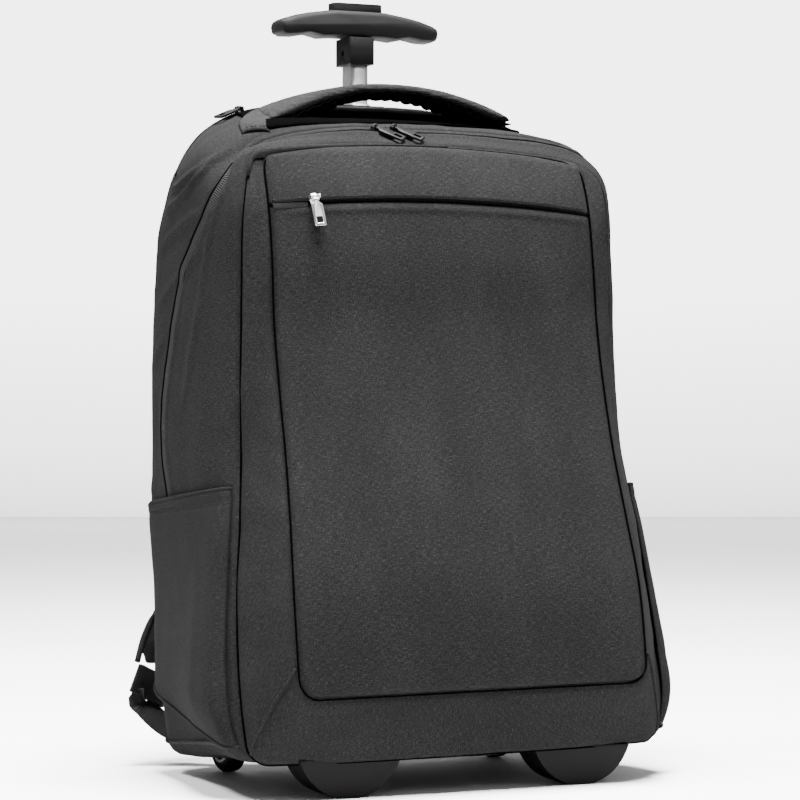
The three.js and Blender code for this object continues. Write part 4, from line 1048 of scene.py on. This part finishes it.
def route_over(y_at, lowest):
    """Where a zip with a known Y at each height crosses each column of the sleeve, left side first."""
    found = []
    for column in range(FLAT_ROWS, sleeve_grid.shape[1] - FLAT_ROWS):
        front_y = sleeve_base[0, column, 1]
        station = 0.5
        for _ in range(8):
            height = on_sleeve(sleeve_base, station, column)[2]
            station = min(max((y_at(height) - front_y) / (CORNER_START - front_y), 0), 1)
        if on_sleeve(sleeve_base, station, column)[2] >= lowest:
            found.append((station, column))
    return found


def main_y(z):
    order = np.argsort(zip_line[:, 1])
    return np.interp(z, zip_line[order, 1], zip_line[order, 0])


def rear_y(z):
    return REAR_ZIP_Y


def zip_run(name, route, width, lift, teeth_width, weave, coil_half):
    """A zip's tape and coil laid along a route on the sleeve."""
    path = np.array([on_sleeve(sleeve_grid, s, c) for s, c in route])
    normal = np.array([on_sleeve(sleeve_normal, s, c) for s, c in route])
    path = path + normal * lift
    across = np.cross(directions(path), normal)
    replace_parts(sweep(f"{name}_tape", path, across, width / 2, 0.5, weave, 12, (0.3, 0.8)), name)
    shown = np.abs(path[:, 0]) < coil_half
    line = path[shown] + normal[shown] * 0.5
    bars(f"{name}_coil", line, normal[shown], COIL_PITCH, (1.05, teeth_width, 0.75), coil)
    return path, normal, across


main_path, main_normal, main_across = zip_run(
    "main_zip", route_over(main_y, MAIN_Z[0]), MAIN_ZIP_WIDTH, MAIN_ZIP_LIFT, MAIN_COIL_WIDTH, side_tape,
    TOP_FLAP_HALF - TOP_COIL_SHORT,
)
rear_path, rear_normal, rear_across = zip_run(
    "rear_zip", route_over(rear_y, BAG_TOP - REAR_ZIP_DOWN), REAR_ZIP_WIDTH, REAR_ZIP_LIFT, REAR_COIL_WIDTH,
    tape, BAG_HALF_WIDTH,
)


def flap_edge(name, path, normal, across, offset, radius, finish):
    """The turned edge of cloth that runs along a zip; with the black finish it is a painted shadow line
    instead.
    """
    cordlike(name, path + across * offset + normal * 0.2, radius, finish, 8)


def top_flap(name, sign):
    """A flap over the main zip's edge on top, thinner and narrower towards its ends."""
    line, across = main_path[on_top], main_across[on_top]
    ease = np.clip((TOP_FLAP_HALF - np.abs(line[:, 0])) / TOP_FLAP_EASE, 0.04, 1)
    lift = mix(-0.4, 0.9, ease)[:, None]
    line = line + across * sign * TOP_FLAP_OFFSET + main_normal[on_top] * lift
    widths = TOP_FLAP_WIDTH / 2 * mix(0.6, 1, ease)
    sweep(name, line, across, widths, 0.15 + 0.4 * ease, heather, 12, (0.5, 0.8))


on_top = np.abs(main_path[:, 0]) < TOP_FLAP_HALF
for end, sign in (("front", 1), ("back", -1)):
    offset = sign * REAR_ZIP_WIDTH / 2
    flap_edge(f"rear_zip_edge_{end}", rear_path, rear_normal, rear_across, offset, ZIP_EDGE_RADIUS, edge_tape)
    top_flap(f"main_zip_flap_{end}", sign)
flap_edge("main_zip_edge_front", main_path, main_normal, main_across, -MAIN_ZIP_WIDTH / 2,
          ZIP_EDGE_RADIUS, heather)
# Black cords at the tape's edge on the sides: painted shadow in the gap beside the zip
for side, name in SIDES:
    here = ~on_top & (main_path[:, 0] * side > 0)
    flap_edge(f"main_zip_shadow_{name}", main_path[here], main_normal[here], main_across[here],
              MAIN_ZIP_WIDTH / 2 - SHADOW_INSET, SHADOW_RADIUS, painted_seam_shadow)


def top_lining():
    """The black panel between the two zips, under the haul handle: partly black cloth, partly painted shadow
    from the handle.
    """
    xs = np.linspace(LINING_LEFT, LINING_RIGHT, 72)
    shares = np.linspace(0, 1, 24)
    edge = LINING_FRONT + LINING_FRONT_STEP * np.clip((xs + 40) / 85, 0, 1)
    back = REAR_ZIP_Y - REAR_ZIP_WIDTH / 2 - 1
    grid = np.empty((len(shares), len(xs), 3))
    for j, x in enumerate(xs):
        for i, share in enumerate(shares):
            y = mix(edge[j], back, share)
            grid[i, j] = (x, y, top_height(x, y) + LINING_LIFT)
    grid[:, :, 2] += ripples(grid, "lining") - 1.6 * (hump(shares, 0.04) + hump(1 - shares, 0.04))[:, None]
    panel("top_black_panel_painted_shadow", grid, lining_and_painted_shadow, 0.8)


top_lining()


def top_roll():
    """The cloth rolls forward over the top front seam, most at its left end, with a black cord of painted
    shadow under it.
    """
    share = np.linspace(0, 1, 70)
    x = mix(-ROLL_START, ROLL_END, share)
    radius = mix(ROLL_RADIUS, 0.8, share**0.6) * np.clip(share * 14, 0.3, 1)
    middle = len(front_ring) // 2
    line = front_ring[middle: middle + SHOULDER_ROWS - 6]
    order = np.argsort(line[:, 0])
    z = np.interp(x, line[order, 0], line[order, 2])
    y = np.interp(x, line[order, 0], line[order, 1]) - 0.4 * radius
    path = np.stack([x, y, z - radius * 0.55], axis=1)
    under = np.stack([x, y - 0.25 * radius, z - radius * 1.4], axis=1)
    sweep("top_seam_roll", path, (0, 1, 0), radius, radius * 0.9, heather, 16, (0.9, 0.9))
    sweep("top_roll_painted_shadow", under, (0, 1, 0), 0.4 + 0.45 * radius, 0.4 + 0.14 * radius, painted_seam_shadow, 10, (1, 1))


top_roll()

# Stitched creases round the front panel and the bag's front corner, drawn as black cords of painted shade;
# mitre seams and piping
cordlike("panel_seam", ring(-1) - np.array([0, 2.1, 0]), SEAM_RADIUS, painted_seam_shadow, 8)
corner_line = front_ring - sleeve_normal[0] * 0.8 - gusset_normal[-1] * 0.6
cordlike("corner_seam", corner_line, SEAM_RADIUS, painted_seam_shadow, 8)


def mitre(side, name):
    """The raised seam from the panel's lower corner to the bag's."""
    grid = gusset_grid() + gusset_normal * 0.6
    rows = np.arange(1, len(grid) - 1)
    columns = np.linspace(FLAT_ROWS + TURN_ROWS + 3, FLAT_ROWS + TURN_ROWS / 2, len(rows))
    if side < 0:
        columns = grid.shape[1] - 1 - columns
    low = columns.astype(int)
    path = mix(grid[rows, low], grid[rows, low + 1], (columns - low)[:, None])
    cordlike(f"mitre_seam_{name}", path, 1.2, heather, 8)


def base_piping(side, name):
    """Piping along the bag's lower side edge."""
    column = FLAT_ROWS + TURN_ROWS - 2
    column = column if side > 0 else sleeve_grid.shape[1] - 1 - column
    last = int(np.searchsorted(STATIONS, 1.7))
    path = sleeve_grid[2:last, column] + sleeve_normal[2:last, column] * 0.5
    cordlike(f"base_piping_{name}", path, 1.5, binding)


for side, name in SIDES:
    mitre(side, name)
    base_piping(side, name)

# Side pockets


def side_point(side, around, z, out):
    under = max((body_bottom(around) + BOTTOM_CORNER - z) / BOTTOM_CORNER, 0)
    half = half_width(around, z, out) - BOTTOM_CORNER * (1 - math.sqrt(max(1 - under**2, 0)))
    return np.array([side * half, float(body_y(around, z, 1, out)), z])


def side_pocket(side, name):
    """A pocket's cloth with its hem, the stitches under the hem and the piping at its foot."""
    arounds = spans((0.03, 0.2, 14), (0.2, POCKET_END, 46))
    rows = spans((0, 0.12, 12), (0.12, 1, 66))
    grid = np.empty((len(rows), len(arounds), 3))
    for j, around in enumerate(arounds):
        share = around / POCKET_END
        foot, hem = mix(FOOT_FRONT, FOOT_BACK, share), mix(HEM_FRONT, HEM_BACK, share)
        swell = POCKET_BULGE * smooth_read(POCKET_ROUND, "round", "share", around)
        for i, row in enumerate(rows):
            out = POCKET_STAND_OFF + POCKET_WALL + swell * smooth_read(POCKET_RISE, "row", "share", row)
            grid[i, j] = side_point(side, around, FLOOR_GAP + mix(foot, hem, row), out)
    normal = grid_normals(grid)
    down = (1 - rows[:, None]) * (HEM_FRONT - FOOT_FRONT)
    move = ripples(grid, f"{name} pocket") + dent(down - HEM_SWELL_DOWN, HEM_SWELL)
    move -= dent(down - HEM_DEPTH, STITCH_DIP) + dent(lengths_along(grid, 1), POCKET_END_DIP)
    grid = grid + normal * move[:, :, None]
    cloth = panel(f"side_pocket_cloth_{name}", grid, pocket_heather, POCKET_WALL * 0.8)
    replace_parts(cloth, f"side_pocket_{name}")
    hem_line = grid[-1] - normal[-1] * POCKET_WALL * 0.3
    cordlike(f"pocket_hem_{name}", hem_line, HEM_RADIUS * 0.85, pocket_heather)
    row = int(np.argmin(np.abs(down[:, 0] - HEM_DEPTH)))
    bars(f"pocket_stitch_{name}", grid[row], normal[row], POCKET_STITCH_PITCH, POCKET_STITCH, thread_dark)
    cordlike(f"pocket_foot_{name}", grid[1] + normal[1] * 0.3, 1.1, pocket_heather)


for side, name in SIDES:
    side_pocket(side, name)

# Padded pieces


def inflated(obj, voxel, pressure, limit):
    """A padded piece filled with air by a short cloth simulation, moving at most the limit."""
    rest_start = bpy.context.scene.frame_current
    bpy.context.view_layer.objects.active = obj
    remesh = obj.modifiers.new("even", "REMESH")
    remesh.mode = "VOXEL"
    remesh.voxel_size = voxel * MM
    remesh.use_smooth_shade = True
    bpy.ops.object.modifier_apply(modifier=remesh.name)
    start = np.array([v.co for v in obj.data.vertices])
    cloth = obj.modifiers.new("air", "CLOTH")
    cloth.settings.use_pressure = True
    cloth.settings.uniform_pressure_force = pressure
    cloth.settings.quality = 5
    cloth.settings.tension_stiffness = 20
    cloth.settings.compression_stiffness = 20
    cloth.settings.effector_weights.gravity = 0
    cloth.point_cache.frame_start = 1
    cloth.point_cache.frame_end = SIMULATED_FRAMES
    for step in range(1, SIMULATED_FRAMES + 1):
        bpy.context.scene.frame_set(step)
    bpy.ops.object.modifier_apply(modifier=cloth.name)
    travel = np.array([v.co for v in obj.data.vertices]) - start
    reach = np.linalg.norm(travel, axis=1, keepdims=True)
    moved = start + travel * np.minimum(1, limit * MM / np.maximum(reach, 1e-9))
    obj.data.vertices.foreach_set("co", moved.ravel())
    bpy.context.scene.frame_set(rest_start)
    finer = obj.modifiers.new("finer", "SUBSURF")
    finer.levels = 1
    finer.render_levels = 1
    bpy.ops.object.modifier_apply(modifier=finer.name)
    obj.data.polygons.foreach_set("use_smooth", [True] * len(obj.data.polygons))


def rounded_outline(width, height, radius, steps=8):
    corners = []
    for cx, cz, start in ((1, 1, 0), (-1, 1, 1), (-1, -1, 2), (1, -1, 3)):
        for i in range(steps + 1):
            angle = (start + i / steps) * math.pi / 2
            x = cx * (width / 2 - radius) + radius * math.cos(angle)
            z = cz * (height / 2 - radius) + radius * math.sin(angle)
            corners.append((x, z))
    return np.array(corners)


def quilted(pad, middle_z):
    """Presses the padding's channels in, two that lean outward and two across."""
    points = np.array([v.co for v in pad.data.vertices]) / MM
    points[:, 1] += ORIGIN_Y
    behind = points[:, 1] > BAG_BACK + PAD_THICK / 2
    across = np.abs(points[:, 0])
    share = np.abs((points[:, 2] - middle_z) / PAD_HEIGHT)
    channel = dent(across - CHANNEL_X - CHANNEL_LEAN * share, CHANNEL_UP)
    channel = channel + dent(share * PAD_HEIGHT - CHANNEL_Z, CHANNEL_ACROSS)
    points[:, 1] -= np.where(behind, channel, 0)
    points[:, 1] = np.maximum(points[:, 1], BAG_BACK + 0.2)
    pad.data.vertices.foreach_set("co", to_row(points).ravel())
    pad.data.update()


def back_pad():
    outer = rounded_outline(PAD_WIDTH - 6, PAD_HEIGHT - 6, PAD_RADIUS)
    middle_z = FLOOR_GAP + PAD_BOTTOM + PAD_HEIGHT / 2
    count = len(outer)
    points = [(x, y, middle_z + z) for y in (BAG_BACK + 0.6, PAD_FACE - 1.6) for x, z in outer]
    faces = [list(range(count)), list(range(2 * count - 1, count - 1, -1))]
    faces += [[i, i + count, (i + 1) % count + count, (i + 1) % count] for i in range(count)]
    pad = mesh_object("back_padding", points, faces, spacer)
    inflated(pad, 5, AIR_PRESSURE, 5)
    quilted(pad, middle_z)
    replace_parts(pad, "back_pad")
    edge = rounded_outline(PAD_WIDTH, PAD_HEIGHT, PAD_RADIUS)
    edge = [(x, BAG_BACK + 2.2, middle_z + z) for x, z in [*edge, edge[0]]]
    cordlike("back_pad_binding", edge, 2.0, binding)


back_pad()


def strap_path(side, table_rows):
    """Places on a shoulder strap's middle line from rows of its table."""
    return np.stack([
        side * BAG_HALF_WIDTH * table_rows["side"],
        PAD_FACE + 0.3 + STRAP_THICK / 2 + STRAP_REACH * table_rows["behind"],
        FLOOR_GAP + BAG_HEIGHT * table_rows["height"],
    ], axis=1)


def strap_turn(side, share):
    """How a strap's across direction turns along it."""
    return np.stack([np.ones(len(share)), side * -0.25 * share, side * 0.45 * share], axis=1)


def shoulder_strap(side, name):
    """A padded strap with its bindings and the belt along its face."""
    keys = list(STRAP)
    read = dict(zip(keys, curve_through(np.stack([STRAP[key] for key in keys], axis=1), STRAP_STEPS).T))
    path = strap_path(side, read)
    share = np.linspace(0, 1, STRAP_STEPS)
    across = strap_turn(side, share)
    end = np.clip(np.minimum(share, 1 - share) * 12, 0.5, 1)
    half = STRAP_WIDTH * read["width"] / 2
    half_thick = STRAP_THICK / 2 * end
    strap = sweep(f"padded_strap_{name}", path, across, half - 2.5, half_thick - 1, strap_cloth, 20)
    inflated(strap, 4.5, AIR_PRESSURE, 4)
    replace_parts(strap, f"shoulder_strap_{name}")
    along = directions(path)
    level = squared_to(along, across)
    for edge, sign in (("inner", -1), ("outer", 1)):
        cordlike(f"strap_binding_{name}_{edge}", path + level * (sign * (half - 1.6))[:, None], 2.2, binding)
    face = np.cross(along, level)
    face *= np.sign(face[len(face) // 2, 1])
    centre = path + face * (half_thick + 1.2)[:, None]
    sweep(f"strap_belt_{name}", centre[6:-4], level[6:-4], WEBBING_WIDTH / 2, 0.8, webbing, 12)


for side, name in SIDES:
    shoulder_strap(side, name)


def lower_webbing(side, name):
    """The webbing from the adjuster down and back up to the sewn tab on the bag."""
    ahead, foot = strap_path(side, STRAP)[-2:]
    along = (foot - ahead) / np.linalg.norm(foot - ahead)
    start = foot + along * (ADJUSTER_LENGTH + 1.8)
    tab_z = FLOOR_GAP + ANCHOR_LIFT
    anchor = np.array([side * ANCHOR_SPACING, BAG_BACK + 0.6 + ANCHOR_THICK + WEBBING_THICK / 2, tab_z])
    low = tab_z - ANCHOR_HEIGHT / 2
    path = curve_through([
        start,
        start + along * WEBBING_THICK * 2,
        (mix(start[0], anchor[0], 0.6), mix(start[1], anchor[1], 0.4), low - WEBBING_SAG),
        (anchor[0], anchor[1] + WEBBING_THICK, low - WEBBING_SAG / 3),
        anchor,
        anchor + np.array([0, 0, ANCHOR_HEIGHT / 2 - WEBBING_THICK]),
    ], 60)
    across = strap_turn(side, 1 - np.linspace(0, 1, 60))
    run = sweep(f"webbing_run_{name}", path, across, WEBBING_WIDTH / 2, WEBBING_THICK / 2, webbing, 12)
    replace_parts(run, f"strap_webbing_{name}")
    levels = np.linspace(-ANCHOR_HEIGHT / 2, ANCHOR_HEIGHT / 2, 12)
    tab = [(side * ANCHOR_SPACING, BAG_BACK + 0.3 + ANCHOR_THICK / 2, tab_z + level) for level in levels]
    sewn = sweep(f"sewn_tab_{name}", tab, (1, 0, 0), ANCHOR_WIDTH / 2, ANCHOR_THICK / 2, webbing, 16)
    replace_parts(sewn, f"strap_anchor_{name}")


for side, name in SIDES:
    lower_webbing(side, name)


def haul_handle():
    """The padded handle: cloth on top, a ribbed black mesh under it and wavy piping between them."""
    share = np.linspace(-1, 1, 121)
    turned = np.sign(share) * np.abs(share) ** 0.8
    x = turned * HAUL_HALF
    end = np.clip((1 - np.abs(turned)) * 6, 0, 1)
    thick = mix(HAUL_END, HAUL_THICK, end)
    seat = np.array([top_height(v, HAUL_Y) for v in x]) + thick / 2 + 0.3
    near_left = np.clip((-turned - 0.25) / 0.75, 0, 1) ** 1.2
    z = np.maximum(BAG_TOP + HAUL_RISE - HAUL_ARCH * turned**2 - thick / 2, seat) - HAUL_DROP * near_left
    path = np.stack([x, np.full(len(x), HAUL_Y), z], axis=1)
    twist = HAUL_TWIST * near_left
    across = np.stack([0 * twist, np.cos(twist), np.sin(twist)], axis=1)
    rise = np.array([0, 0, 1.0])
    belly = 1 - turned**2
    upper = path + rise * (thick * 0.12)[:, None]
    half_thick = thick * mix(0.42, 0.33, belly)
    top = sweep("haul_top", upper, across, HAUL_WIDTH / 2 - 1, half_thick, handle_heather, 24, (0.5, 0.8))
    inflated(top, 2.6, AIR_PRESSURE, 1.6)
    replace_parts(top, "haul_handle")
    run = run_along(path)
    wave = np.sin(2 * math.pi * run / HAUL_RIB) + 0.4 * np.sin(2 * math.pi * run / (HAUL_RIB * 2.7))
    quarter = hump(np.abs(turned) - 0.6, 0.28)
    lower = path - rise * (thick * mix(0.42, 0.3, belly) + 1.1 * quarter * end)[:, None]
    half_wide = HAUL_WIDTH / 2 - 1.6 + 0.8 * wave * end
    half_thick = thick * 0.24 + 0.8 * wave * end + 1.3 * quarter * end
    sweep("haul_under_mesh", lower, across, half_wide, half_thick, black_mesh, 24, (0.5, 0.8))
    for name, sign in (("front", -1), ("back", 1)):
        edge = across * (sign * (HAUL_WIDTH / 2 - 1.4))
        line = path + edge - rise * (thick * 0.18 - 0.7 * wave * end)[:, None]
        cordlike(f"haul_piping_{name}", line[4:-4], 1.0, piping_black, 8)


def haul_end():
    """The handle's left end turns forward over the top and is sewn down in the seam there."""
    rows, columns = np.linspace(0, 1, 26), np.linspace(-1, 1, 17)
    start, bend = np.array([4 - HAUL_HALF, HAUL_Y]), np.array([-HAUL_HALF - 10, HAUL_Y - 1])
    end = np.array([-HAUL_HALF - HAUL_TAIL - 6, HAUL_Y - HAUL_TAIL_LEAD])
    share = rows[:, None]
    middle = start * (1 - share) ** 2 + bend * 2 * share * (1 - share) + end * share**2
    along = np.gradient(middle, axis=0)
    along /= np.linalg.norm(along, axis=1, keepdims=True)
    sideways = np.stack([along[:, 1], -along[:, 0]], axis=1)
    half = mix(HAUL_WIDTH / 2 - 1, HAUL_WIDTH / 3, rows)
    flat = middle[:, None, :] + (half[:, None] * columns)[:, :, None] * sideways[:, None]
    top = np.array([[top_height(x, y) for x, y in line] for line in flat])
    puff = mix(4.2, 2.2, share) * (1 - np.abs(columns) ** 5) + 0.6 + 0.4 * (1 - share)
    puff = puff - 1.8 * hump(1 - share, 0.05) + 2.6 * (1 - share) * columns
    grid = np.concatenate([flat, (top + puff)[:, :, None]], axis=2)
    panel("haul_end_cloth", grid, handle_heather, 1.0)
    line = grid[-2, 2:-2]
    up = np.tile([0.0, 0.0, 1.0], (len(line), 1))
    bars("haul_stitch", line, up, HAUL_STITCH_PITCH, HAUL_STITCH, thread_dark)


haul_handle()
haul_end()

# Hard pieces keep their solids, with eased edges and their own finishes


def hard(name, finish, edge, segments=2):
    obj = nodes[name]
    obj.data.materials.clear()
    obj.data.materials.append(finish[0])
    obj.data.polygons.foreach_set("material_index", [0] * len(obj.data.polygons))
    obj.data.polygons.foreach_set("use_smooth", [True] * len(obj.data.polygons))
    weld = obj.modifiers.new("weld", "WELD")
    weld.merge_threshold = 0.00001
    bevel = obj.modifiers.new("edge", "BEVEL")
    bevel.width = edge * MM
    bevel.segments = segments
    bevel.limit_method = "ANGLE"
    bevel.angle_limit = math.radians(32)
    bevel.harden_normals = True
    return obj


for _, name in SIDES:
    foot = hard(f"front_foot_{name}", foot_face, 0.8, 3)
    foot.data.materials.append(rubber[0])
    for face in foot.data.polygons:
        face.material_index = 0 if abs(face.normal.y) > 0.7 else 1
    hard(f"wheel_housing_{name}", hard_black, 0.5)
    hard(f"wheel_tyre_{name}", rubber, 0.4)
    hard(f"wheel_hub_{name}", hard_black, 0.4)
    hard(f"strap_adjuster_{name}", hard_black, 0.6)
for name in ("main_zip_left", "main_zip_right", "rear_zip", "front_zip"):
    finish = silver if name == "front_zip" else black_metal
    hard(f"{name}_slider", finish, 0.25)
    hard(f"{name}_pull", finish, 0.25)
hard("handle_housing", hard_black, 0.3)
hard("handle_port", hard_black, 0.6)
hard("handle_tube_mid", aluminium, 0.3)
hard("handle_tube_inner", aluminium, 0.3)
hard("handle_collar", grip_soft, 0.6)
hard("handle_grip", grip_soft, 1.0, 3)
hard("release_button", grip_soft, 0.9, 3)

# Studio


def stage_sheet(name, corners, material):
    mesh = bpy.data.meshes.new(name)
    mesh.from_pydata(corners, [], [(0, 1, 2, 3)])
    mesh.materials.append(material)
    obj = bpy.data.objects.new(name, mesh)
    bpy.context.scene.collection.objects.link(obj)
    return obj


def studio_floor():
    paper, tree, shader = new_material("studio_paper")
    tone = scaled_noise(tree, coordinates(tree), 3, 2)
    feed(tree, shader, {"Base Color": ramp(tree, tone, [(0.3, 0.74), (0.7, 0.78)]), "Roughness": 0.9})
    corners = [(x * FLOOR_HALF, y * FLOOR_HALF, 0) for x, y in ((-1, -1), (1, -1), (1, 1), (-1, 1))]
    stage_sheet("studio_floor", corners, paper)


def studio_backdrop():
    """A softly glowing wall behind the object, darker near the floor so that the two blend."""
    half, top = BACKDROP_HALF, BACKDROP_TOP
    glow, tree, shader = new_material("backdrop_glow")
    height = axis_of(tree, coordinates(tree), "Z")
    feed(tree, shader, {
        "Base Color": (0.9, 0.9, 0.9, 1),
        "Emission Color": ramp(tree, height, [(0, 0.2), (0.2, 0.5), (0.6, 1)]),
        "Emission Strength": 3.2,
    })
    corners = [(-half, 0, 0), (half, 0, 0), (half, 0, top), (-half, 0, top)]
    wall = stage_sheet("studio_backdrop", corners, glow)
    wall.location = (BACKDROP_BACK * math.sin(VIEW_TURN), BACKDROP_BACK * math.cos(VIEW_TURN), 0)
    wall.rotation_euler = (0, 0, -VIEW_TURN)


def studio_world():
    world = bpy.data.worlds.new("studio_world")
    world.use_nodes = True
    background = world.node_tree.nodes["Background"]
    background.inputs["Color"].default_value = (1, 1, 1, 1)
    background.inputs["Strength"].default_value = 0.28
    bpy.context.scene.world = world


def area_light(name, place, target, size, power):
    lamp = bpy.data.lights.new(name, "AREA")
    lamp.shape = "SQUARE"
    lamp.size = size
    lamp.energy = power
    obj = bpy.data.objects.new(name, lamp)
    obj.location = place
    obj.rotation_euler = (Vector(target) - Vector(place)).to_track_quat("-Z", "Y").to_euler()
    bpy.context.scene.collection.objects.link(obj)


studio_floor()
studio_backdrop()
studio_world()
area_light("top_light", (0, -0.22, 2.3), (0, 0, 0.3), 1.0, 660)
area_light("front_light", (0.5, -2.4, 2.2), (0, 0, 0.4), 1.0, 6)
area_light("side_light", (-1.2, 0.3, 2.1), (0, 0, 0.4), 0.4, 85)

camera_data = bpy.data.cameras.new("camera")
camera_data.lens = 135.6
camera_data.sensor_width = 36
camera_data.shift_y = 0.0075
camera_data.clip_end = 60
camera = bpy.data.objects.new("camera", camera_data)
camera.location = (-0.9217, -1.9911, 0.2658)
camera.rotation_euler = (math.radians(90), 0, -VIEW_TURN)
bpy.context.scene.collection.objects.link(camera)
bpy.context.scene.camera = camera
